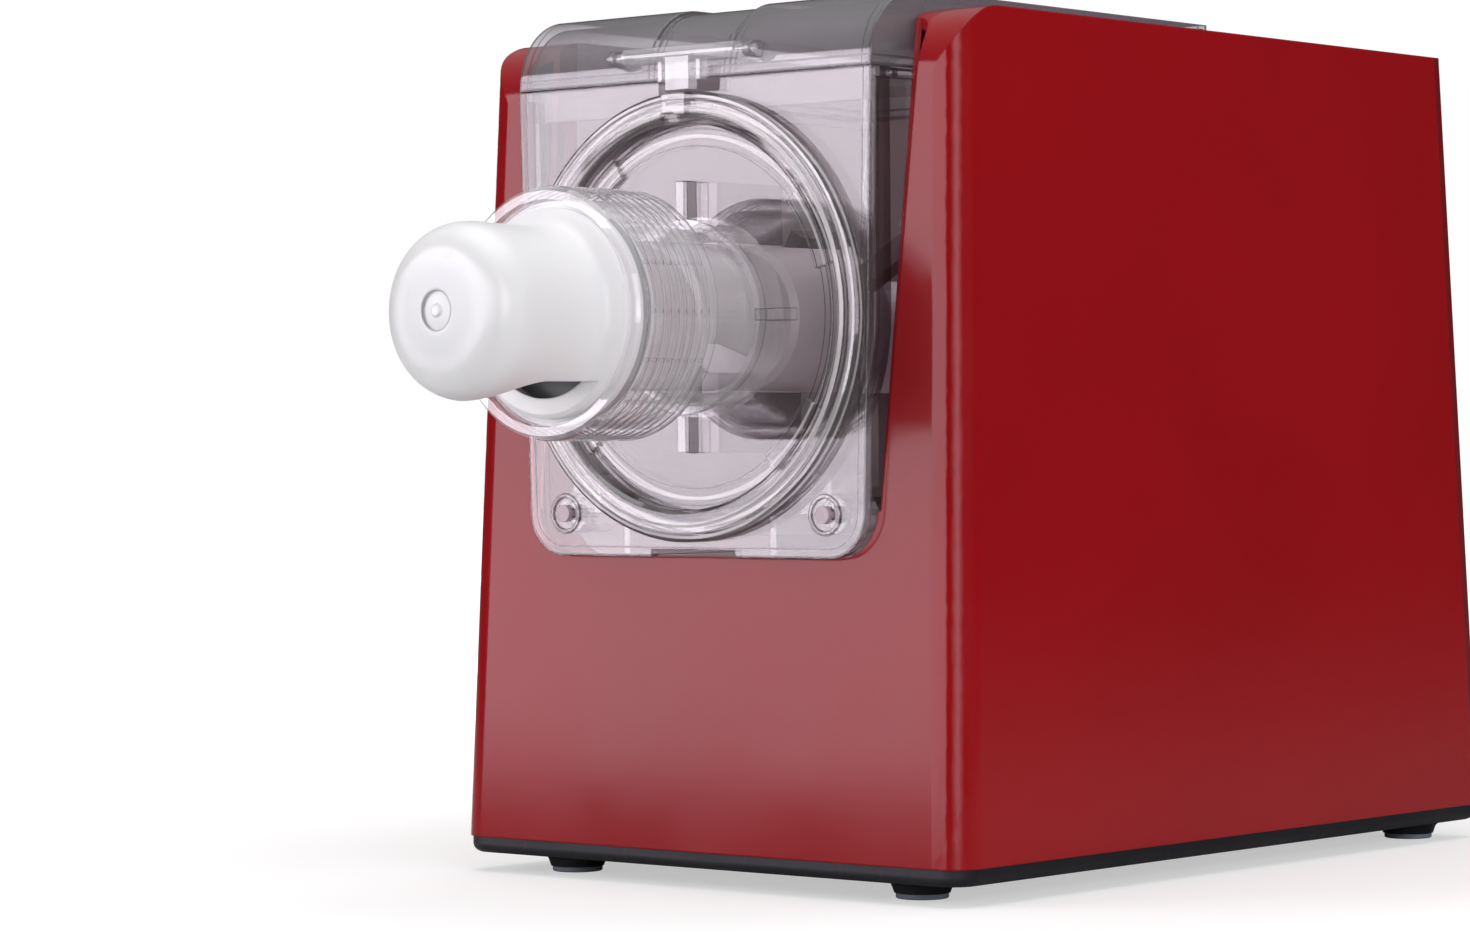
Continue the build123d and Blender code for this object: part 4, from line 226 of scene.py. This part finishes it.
def bowl_shade_lines(s):
    """1 on the upright lines of painted shade on the bowl's side walls, just behind its front plate."""
    x, y, _ = s.axes()
    return s.overlap(s.maths("GREATER_THAN", s.maths("ABSOLUTE", x), BOWL_WALL),
                     any_line(s, s.maths("SUBTRACT", y, BOWL_FRONT), BOWL_SHADE_LINES))


def plate_shade_lines(s):
    """1 on the two fine lines of painted shade that follow the bowl plate's edge round its lower corners."""
    x, y, z = s.axes()
    height = s.maths("SUBTRACT", z, PLATE_LOW[2])
    lean = s.maths("MULTIPLY_ADD", height, -SIDE_DRAFT, PLATE_CORNER - PLATE_HALF)
    outward = s.maths("MAXIMUM", s.maths("ADD", s.maths("ABSOLUTE", x), lean), 0.0)
    down = s.maths("MAXIMUM", s.maths("SUBTRACT", PLATE_LOW[2] + PLATE_CORNER, z), 0.0)
    return s.overlap(s.maths("LESS_THAN", y, BOWL_FRONT), any_line(s, s.length(outward, down), PLATE_SHADE_LINES))


def disc_shade_rings(s):
    """1 on the disc's rings of painted shade."""
    return any_line(s, from_axis(s), SHADE_RINGS)


def disc_highlight_rings(s):
    """1 on the disc's rings of painted highlight."""
    return any_line(s, from_axis(s), HIGHLIGHT_RINGS)


def nut_ridges(s):
    """1 in the thin shadow beside each ridge round the nut."""
    _, y, _ = s.axes()
    return s.overlap(s.maths("GREATER_THAN", from_axis(s), RIDGE_FOOT), any_line(s, y, SHADOW_LINES))


def lid_shade_lines(s):
    """1 on the fine lines of painted shade along the lid's lower front edge, its two sides and its channel.
    """
    x, _, z = s.axes()
    return s.maths("MAXIMUM", any_line(s, z, LID_LOW_LINES),
                   any_line(s, s.maths("ABSOLUTE", x), LID_SIDE_LINES))


# ---- opaque finishes ----
PALE = linear(226, 206, 210)
# painted shade: slate stands for the shade between the bowl plate and the housing's cheeks
PAINTED_SHADE_SLATE = linear(112, 42, 56)
ROUGH_DRIFT = (0.82, 1.2)   # the shares of its roughness that a finish drifts between
SCATTER_REACH = (0.006, 0.005, 0.0045)
SCUFF_LIFT = 0.25


def solid(name, colour, rough, grain, grain_depth=0.00002, stretch=(1, 1, 1), edge=0.0003, vary=0.12,
          metal=0.0, specular=0.5, wear=0.0, scatter=0.0, bay=None, core=None):
    """An opaque finish: its colour and roughness drift, its grain is raised and its edges are softened.

    bay is the colour of the bowl's bay, whose upper side edges carry a slate painted shade; core is the
    colour near the axis.
    """
    s = Shader(bpy.data.materials.new(name))
    darker = tuple(c * (1 - vary) for c in colour)
    lighter = tuple(min(1.0, c * (1 + vary)) for c in colour)
    shade = s.mix(s.spread(s.noise(scale=9.0, detail=3.0), 0.0, 1.0), darker, lighter)
    if wear:
        scratches = s.noise(scale=420.0, detail=2.0, stretch=(1, 1, 0.2))
        scuff = s.spread(scratches, 0.0, wear, start=0.62, end=0.8)
        shade = s.mix(scuff, shade, tuple(min(1.0, c + SCUFF_LIFT) for c in colour))
    if bay:
        # painted shade: a slate band along the bay's upper side edges
        shade = s.mix(inside_bay(s, wider=SHADE_WIDE, higher=SHADE_START), shade, PAINTED_SHADE_SLATE)
        shade = s.mix(inside_bay(s), shade, bay)
    if core:
        shade = s.mix(s.maths("LESS_THAN", from_axis(s), CORE_RADIUS), shade, core)
    raised = s.noise(grain, detail=3.0, stretch=stretch)
    smoother, rougher = (min(1.0, rough * share) for share in ROUGH_DRIFT)
    sockets = {
        "Base Color": shade,
        "Roughness": s.spread(s.noise(scale=34.0, detail=5.0), smoother, rougher),
        "Metallic": metal,
        "Specular IOR Level": specular,
        "Normal": s.bump(raised, strength=0.35, distance=grain_depth, normal=s.rounded(edge)),
    }
    if scatter:
        sockets |= {"Subsurface Weight": scatter, "Subsurface Radius": SCATTER_REACH, "Subsurface Scale": 1.0}
    return s.finish(s.add("ShaderNodeBsdfPrincipled", sockets).outputs[0])


# ---- clear finishes ----
WHITE = (1.0, 1.0, 1.0)
TINT = (0.99, 0.98, 0.982)
# painted shade: the dark colour of clear walls where they are edge on, and along their edges and lines
EDGE_SHADE = (0.10, 0.06, 0.085)
EDGE_SHARE, EDGE_TURN = 0.85, (0.80, 0.99)      # a sharp edge's painted shade, and the cosines it fades between
SHADE_LINE_SHARE, HIGHLIGHT_SHARE = 0.8, 0.55              # how strongly the masks' painted shade lines and painted highlight lines show
STRIP_COLOUR, STRIP_SHARE, STRIP_DULL = (0.36, 0.31, 0.34), (0.38, 0.50), 0.7
FACE_MIRROR, SLANT_MIRROR, SLANT_POWER = 0.048, 0.5, 5.0
INNER_MIRROR = 0.3                              # the share of its mirror that a wall's inner face keeps
GLOSS_DRIFT = (0.02, 0.06)                      # the roughnesses that the mirror drifts between
HAZE_DRIFT = (0.8, 1.2)                         # the shares of its haze that a plastic drifts between
SHADOW_LIGHT = (0.98, 0.98, 0.98)               # the light that a wall lets through to what is behind it


def edge_line(s, soft, flat):
    """How much painted shade a wall gets where its softened normal turns away from its flat one."""
    turn = s.maths("ABSOLUTE", s.vector_maths("DOT_PRODUCT", soft, flat))
    return s.spread(turn, EDGE_SHARE, 0.0, *EDGE_TURN)


def milky(s, body, haze, strip, pale):
    """The body with its haze, its milky strip and its painted highlight lines laid over it."""
    amount, colour = haze
    share = s.spread(s.noise(scale=15.0), *(amount * drift for drift in HAZE_DRIFT))
    if strip:
        colour = s.mix(strip, colour, STRIP_COLOUR)
        streaks = s.spread(s.noise(scale=90.0), *STRIP_SHARE)
        share = s.maths("MAXIMUM", share, s.maths("MULTIPLY", strip, streaks))
    if pale:
        share = s.maths("MAXIMUM", share, s.maths("MULTIPLY", pale(s), HIGHLIGHT_SHARE))
    return s.blend(share, body, s.add("ShaderNodeBsdfDiffuse", {"Color": colour}).outputs[0])


def mirror_share(s, slant, inner, reflect, strip):
    """How much a wall mirrors: more at a slant, less on its inner face and on the milky strip."""
    share = s.maths("MULTIPLY_ADD", s.maths("POWER", slant, SLANT_POWER), SLANT_MIRROR, FACE_MIRROR)
    share = s.maths("MULTIPLY", share, s.spread(inner, reflect, reflect * INNER_MIRROR, start=0.0, end=1.0))
    if strip:
        share = s.maths("MULTIPLY", share, s.maths("MULTIPLY_ADD", strip, -STRIP_DULL, 1.0))
    return share


def clear(name, tint, edge_tint, slants, haze=None, reflect=1.3, line=0.0007,
          dark=None, pale=None, strip=None):
    """A clear plastic: light goes straight through, dims where a wall is edge on, and mirrors at a slant.

    slants are where the tint gives way to the edge tint, from 0, face on, to 1, edge on. haze is a share and
    a colour. line is the radius that softens edges and lays painted shade along them. dark is a mask of
    painted shade lines, pale a mask of painted highlight lines, and strip a mask.
    """
    s = Shader(bpy.data.materials.new(name))
    shape = s.add("ShaderNodeNewGeometry").outputs
    soft = s.rounded(line) if line else shape["Normal"]
    normal = s.bump(s.noise(scale=26.0, detail=2.0), strength=0.15, distance=0.0004, normal=soft)
    slant = s.add("ShaderNodeLayerWeight", {"Blend": 0.5, "Normal": normal}).outputs["Facing"]

    shade_marks = edge_line(s, soft, shape["True Normal"]) if line else 0.0
    if dark:
        shade_marks = s.maths("MAXIMUM", shade_marks, s.maths("MULTIPLY", dark(s), SHADE_LINE_SHARE))
    wall = s.mix(s.spread(slant, 0.0, 1.0, *slants), tint, edge_tint)
    body = s.add("ShaderNodeBsdfTransparent", {"Color": s.mix(shade_marks, wall, EDGE_SHADE)}).outputs[0]
    milky_strip = strip(s) if strip else None
    if haze:
        body = milky(s, body, haze, milky_strip, pale)

    blur = s.spread(s.noise(scale=60.0, detail=3.0), *GLOSS_DRIFT)
    mirror = s.add("ShaderNodeBsdfGlossy", {"Color": WHITE, "Roughness": blur, "Normal": normal}).outputs[0]
    seen = s.blend(mirror_share(s, slant, shape["Backfacing"], reflect, milky_strip), body, mirror)
    lit = s.add("ShaderNodeBsdfTransparent", {"Color": SHADOW_LIGHT}).outputs[0]
    return s.finish(s.blend(s.add("ShaderNodeLightPath").outputs["Is Shadow Ray"], seen, lit))


# ---- which piece has which finish ----
undressed = set(nodes)


def dress(material, *names):
    """Give these pieces this one material."""
    for name in names:
        mesh = nodes[name].data
        mesh.materials.clear()
        mesh.materials.append(material)
        undressed.remove(name)


# housing and keys
dress(solid("red_gloss", linear(149, 15, 22), rough=0.12, grain=900, grain_depth=0.000003, edge=0.0008,
            vary=0.05, specular=0.2, bay=PALE),
      "body_shell")
dress(solid("red_plastic", linear(112, 10, 18), rough=0.35, grain=900, vary=0.06, specular=0.3), "rear_cover")
dress(solid("bay_plastic", PALE, rough=0.45, grain=700, vary=0.04), "bay_back_plate")
dress(solid("black_plastic", linear(18, 20, 26), rough=0.5, grain=1400, grain_depth=0.00003, vary=0.2,
            specular=0.3, wear=0.04),
      "base_plate", "feet", "cord_gland", "control_panel", "gearbox_case", "gearbox_lid", "motor_pulley",
      "input_pulley")
dress(solid("pad_rubber", linear(112, 122, 132), rough=0.75, grain=900, grain_depth=0.00005, wear=0.1),
      "foot_pads")
dress(solid("key_plastic", linear(170, 172, 178), rough=0.35, grain=1200, vary=0.05, wear=0.05),
      "button_power", "button_start", "button_less", "button_more")

# bowl, nozzle and what turns in them
# painted shade: the paddle's arms are painted dark plum for the shade they lie in behind the disc; only near
# the axis is it pale
dress(solid("paddle_plastic", linear(66, 36, 48), rough=0.4, grain=600, vary=0.1, core=linear(202, 192, 199)),
      "mixing_paddle")
dress(solid("plug_plastic", linear(178, 158, 166), rough=0.3, grain=900, vary=0.1), "bowl_screws")
dress(solid("screw_plastic", linear(205, 198, 203), rough=0.35, grain=600, vary=0.06), "conveying_screw")
dress(solid("die_plastic", linear(120, 122, 126), rough=0.5, grain=900, vary=0.1), "shaping_die")
dress(solid("seal_rubber", linear(205, 205, 208), rough=0.6, grain=700), "die_seal", "bowl_shaft_seal")
dress(solid("white_plastic", linear(240, 238, 240), rough=0.32, grain=500, edge=0.0006, vary=0.02,
            scatter=0.35),
      "outlet_hood")

# drive and boards
dress(solid("belt_rubber", linear(28, 28, 28), rough=0.8, grain=1500, grain_depth=0.0001), "drive_belt")
dress(solid("steel", linear(170, 172, 176), rough=0.32, grain=500, stretch=(1, 8, 1), metal=1.0),
      "housing_screws", "board_screws", "cradle_screws", "gearbox_screws", "gearbox_bearings",
      "motor_bearings", "compound_pin", "lid_hinge_pin", "motor_can", "motor_end_bells", "motor_cradle",
      "output_gear", "output_shaft", "input_shaft", "input_pinion", "motor_shaft")
dress(solid("gear_nylon", linear(228, 224, 210), rough=0.4, grain=500, scatter=0.1),
      "compound_gear", "motor_fan")
dress(solid("magnet", linear(50, 50, 54), rough=0.6, grain=900, metal=0.5), "motor_magnets")
dress(solid("copper", linear(190, 110, 68), rough=0.35, grain=1200, stretch=(1, 6, 1), metal=1.0),
      "motor_armature", "commutator")
dress(solid("carbon", linear(26, 26, 26), rough=0.6, grain=1200), "carbon_brushes", "key_switches")
dress(solid("board_green", linear(20, 84, 44), rough=0.4, grain=400), "control_board", "power_board")
dress(solid("component_black", linear(28, 28, 32), rough=0.45, grain=900),
      "power_components", "display_module")

# clear pieces
BOWL_HAZE = (0.025, (0.88, 0.82, 0.85))
dress(clear("clear_bowl", TINT, EDGE_SHADE, slants=(0.42, 0.88), haze=BOWL_HAZE, dark=bowl_shade_lines, strip=front_lip),
      "mixing_bowl")
dress(clear("clear_disc", TINT, EDGE_SHADE, slants=(0.48, 0.92), haze=(0.03, (0.92, 0.88, 0.9)), dark=disc_shade_rings,
            pale=disc_highlight_rings),
      "front_disc")
dress(clear("clear_plate", TINT, EDGE_SHADE, slants=(0.42, 0.88), haze=BOWL_HAZE, dark=plate_shade_lines),
      "bowl_front_plate")
dress(clear("clear_nut", (0.99, 0.985, 0.99), (0.52, 0.46, 0.52), slants=(0.6, 0.97),
            haze=(0.13, (0.97, 0.95, 0.97)), reflect=1.7, line=0.0, dark=nut_ridges),
      "extrusion_barrel", "nozzle_nut", "lid_latch")
dress(clear("smoked_clear", (0.82, 0.80, 0.82), (0.10, 0.07, 0.10), slants=(0.42, 0.9),
            haze=(0.14, (0.56, 0.54, 0.58)), line=0.0012, dark=lid_shade_lines),
      "lid")
dress(clear("display_window", (0.22, 0.24, 0.28), (0.02, 0.02, 0.03), slants=(0.45, 0.95), reflect=1.2),
      "display_window")

assert not undressed, undressed

# ---- floor ----
FLOOR_HALF = 6.0
FLOOR_GREYS = ((0.56, 0.56, 0.56), (0.60, 0.60, 0.60))
FLOOR_GLOW = (0.5, 1.0)     # how bright the glow is near the object and far from it
GLOW_REACH = (0.2, 0.9)     # the distances from the object's origin that it rises between


def floor_paper():
    """Pale grey paper that glows for the camera alone, less near the object than beyond it."""
    s = Shader(bpy.data.materials.new("floor"))
    grey = s.mix(s.spread(s.noise(scale=3.0), 0.0, 1.0), *FLOOR_GREYS)
    paper = s.add("ShaderNodeBsdfDiffuse", {"Color": grey})
    distance = s.vector_maths("LENGTH", s.place)
    glow = s.add("ShaderNodeEmission", {"Strength": s.spread(distance, *FLOOR_GLOW, *GLOW_REACH)})
    dark = s.add("ShaderNodeEmission", {"Strength": 0.0})
    shown = s.blend(s.add("ShaderNodeLightPath").outputs["Is Camera Ray"], dark.outputs[0], glow.outputs[0])
    return s.finish(s.add("ShaderNodeAddShader", {0: paper.outputs[0], 1: shown}).outputs[0])


floor_mesh = bpy.data.meshes.new("floor")
corners = [(x * FLOOR_HALF, y * FLOOR_HALF, 0) for x, y in ((-1, -1), (1, -1), (1, 1), (-1, 1))]
floor_mesh.from_pydata(corners, [], [(0, 1, 2, 3)])
floor_mesh.materials.append(floor_paper())
floor = bpy.data.objects.new("floor", floor_mesh)
bpy.context.scene.collection.objects.link(floor)

# ---- room and lamps ----
ROOM_COLOUR, ROOM_LIGHT = (0.98, 0.965, 1.0), 0.26
CEILING_LIGHT, CEILING_RISE = (0.05, 0.9), (0.25, 0.85)
MAUVE, COOL = (0.99, 0.91, 1.0), (0.98, 0.92, 1.0)


def studio():
    """A world that is white to the camera, brightens upwards in mirrors and is an even room to all else."""
    s = Shader(bpy.data.worlds.new("world"), output="ShaderNodeOutputWorld", place="Generated")

    def sky(colour, strength):
        return s.add("ShaderNodeBackground", {"Color": colour, "Strength": strength}).outputs[0]

    _, _, height = s.axes()
    rays = s.add("ShaderNodeLightPath").outputs
    ceiling = sky(WHITE, s.spread(height, *CEILING_LIGHT, *CEILING_RISE))
    around = s.blend(rays["Is Glossy Ray"], sky(ROOM_COLOUR, ROOM_LIGHT), ceiling)
    direct = s.maths("MAXIMUM", rays["Is Camera Ray"], rays["Is Transmission Ray"])
    return s.finish(s.blend(direct, around, sky(WHITE, 1.0)))


def lamp(name, place, target, size, power, colour=WHITE, lights=True, mirrored=True):
    """A soft lamp that the camera doesn't see. It can be left out of diffuse light or out of mirrors."""
    light = bpy.data.lights.new(name, "AREA")
    light.shape = "RECTANGLE"
    light.size, light.size_y = size
    light.energy = power
    light.color = colour
    item = bpy.data.objects.new(name, light)
    bpy.context.scene.collection.objects.link(item)
    item.location = place
    item.rotation_mode = "QUATERNION"
    item.rotation_quaternion = (Vector(target) - Vector(place)).to_track_quat("-Z", "Y")
    item.visible_camera = False
    item.visible_diffuse = lights
    item.visible_glossy = mirrored


bpy.context.scene.world = studio()
lamp("front", (-1.0, -1.25, 0.46), (-0.02, -0.1, 0.14), size=(0.95, 0.9), power=10.0, mirrored=False)
lamp("side", (1.65, -0.45, 0.46), (0, -0.15, 0.2), size=(2.2, 0.75), power=16.2, mirrored=False)
lamp("front_card", (-0.52, -1.60, 0.47), (0.0, -0.1, 0.47), size=(2.35, 0.92), power=41.0, colour=MAUVE,
     lights=False)
lamp("edge_card", (1.30, -1.00, 0.47), (0.1, -0.1, 0.47), size=(0.45, 0.92), power=3.8, colour=COOL,
     lights=False)
lamp("edge_card_soft", (1.31, -1.01, 0.47), (0.1, -0.1, 0.47), size=(0.95, 0.92), power=5.2, colour=COOL,
     lights=False)
lamp("top", (0.0, -0.1, 1.7), (0, 0, 0.2), size=(1.5, 1.5), power=16.0)

bpy.context.scene.view_settings.view_transform = "Standard"
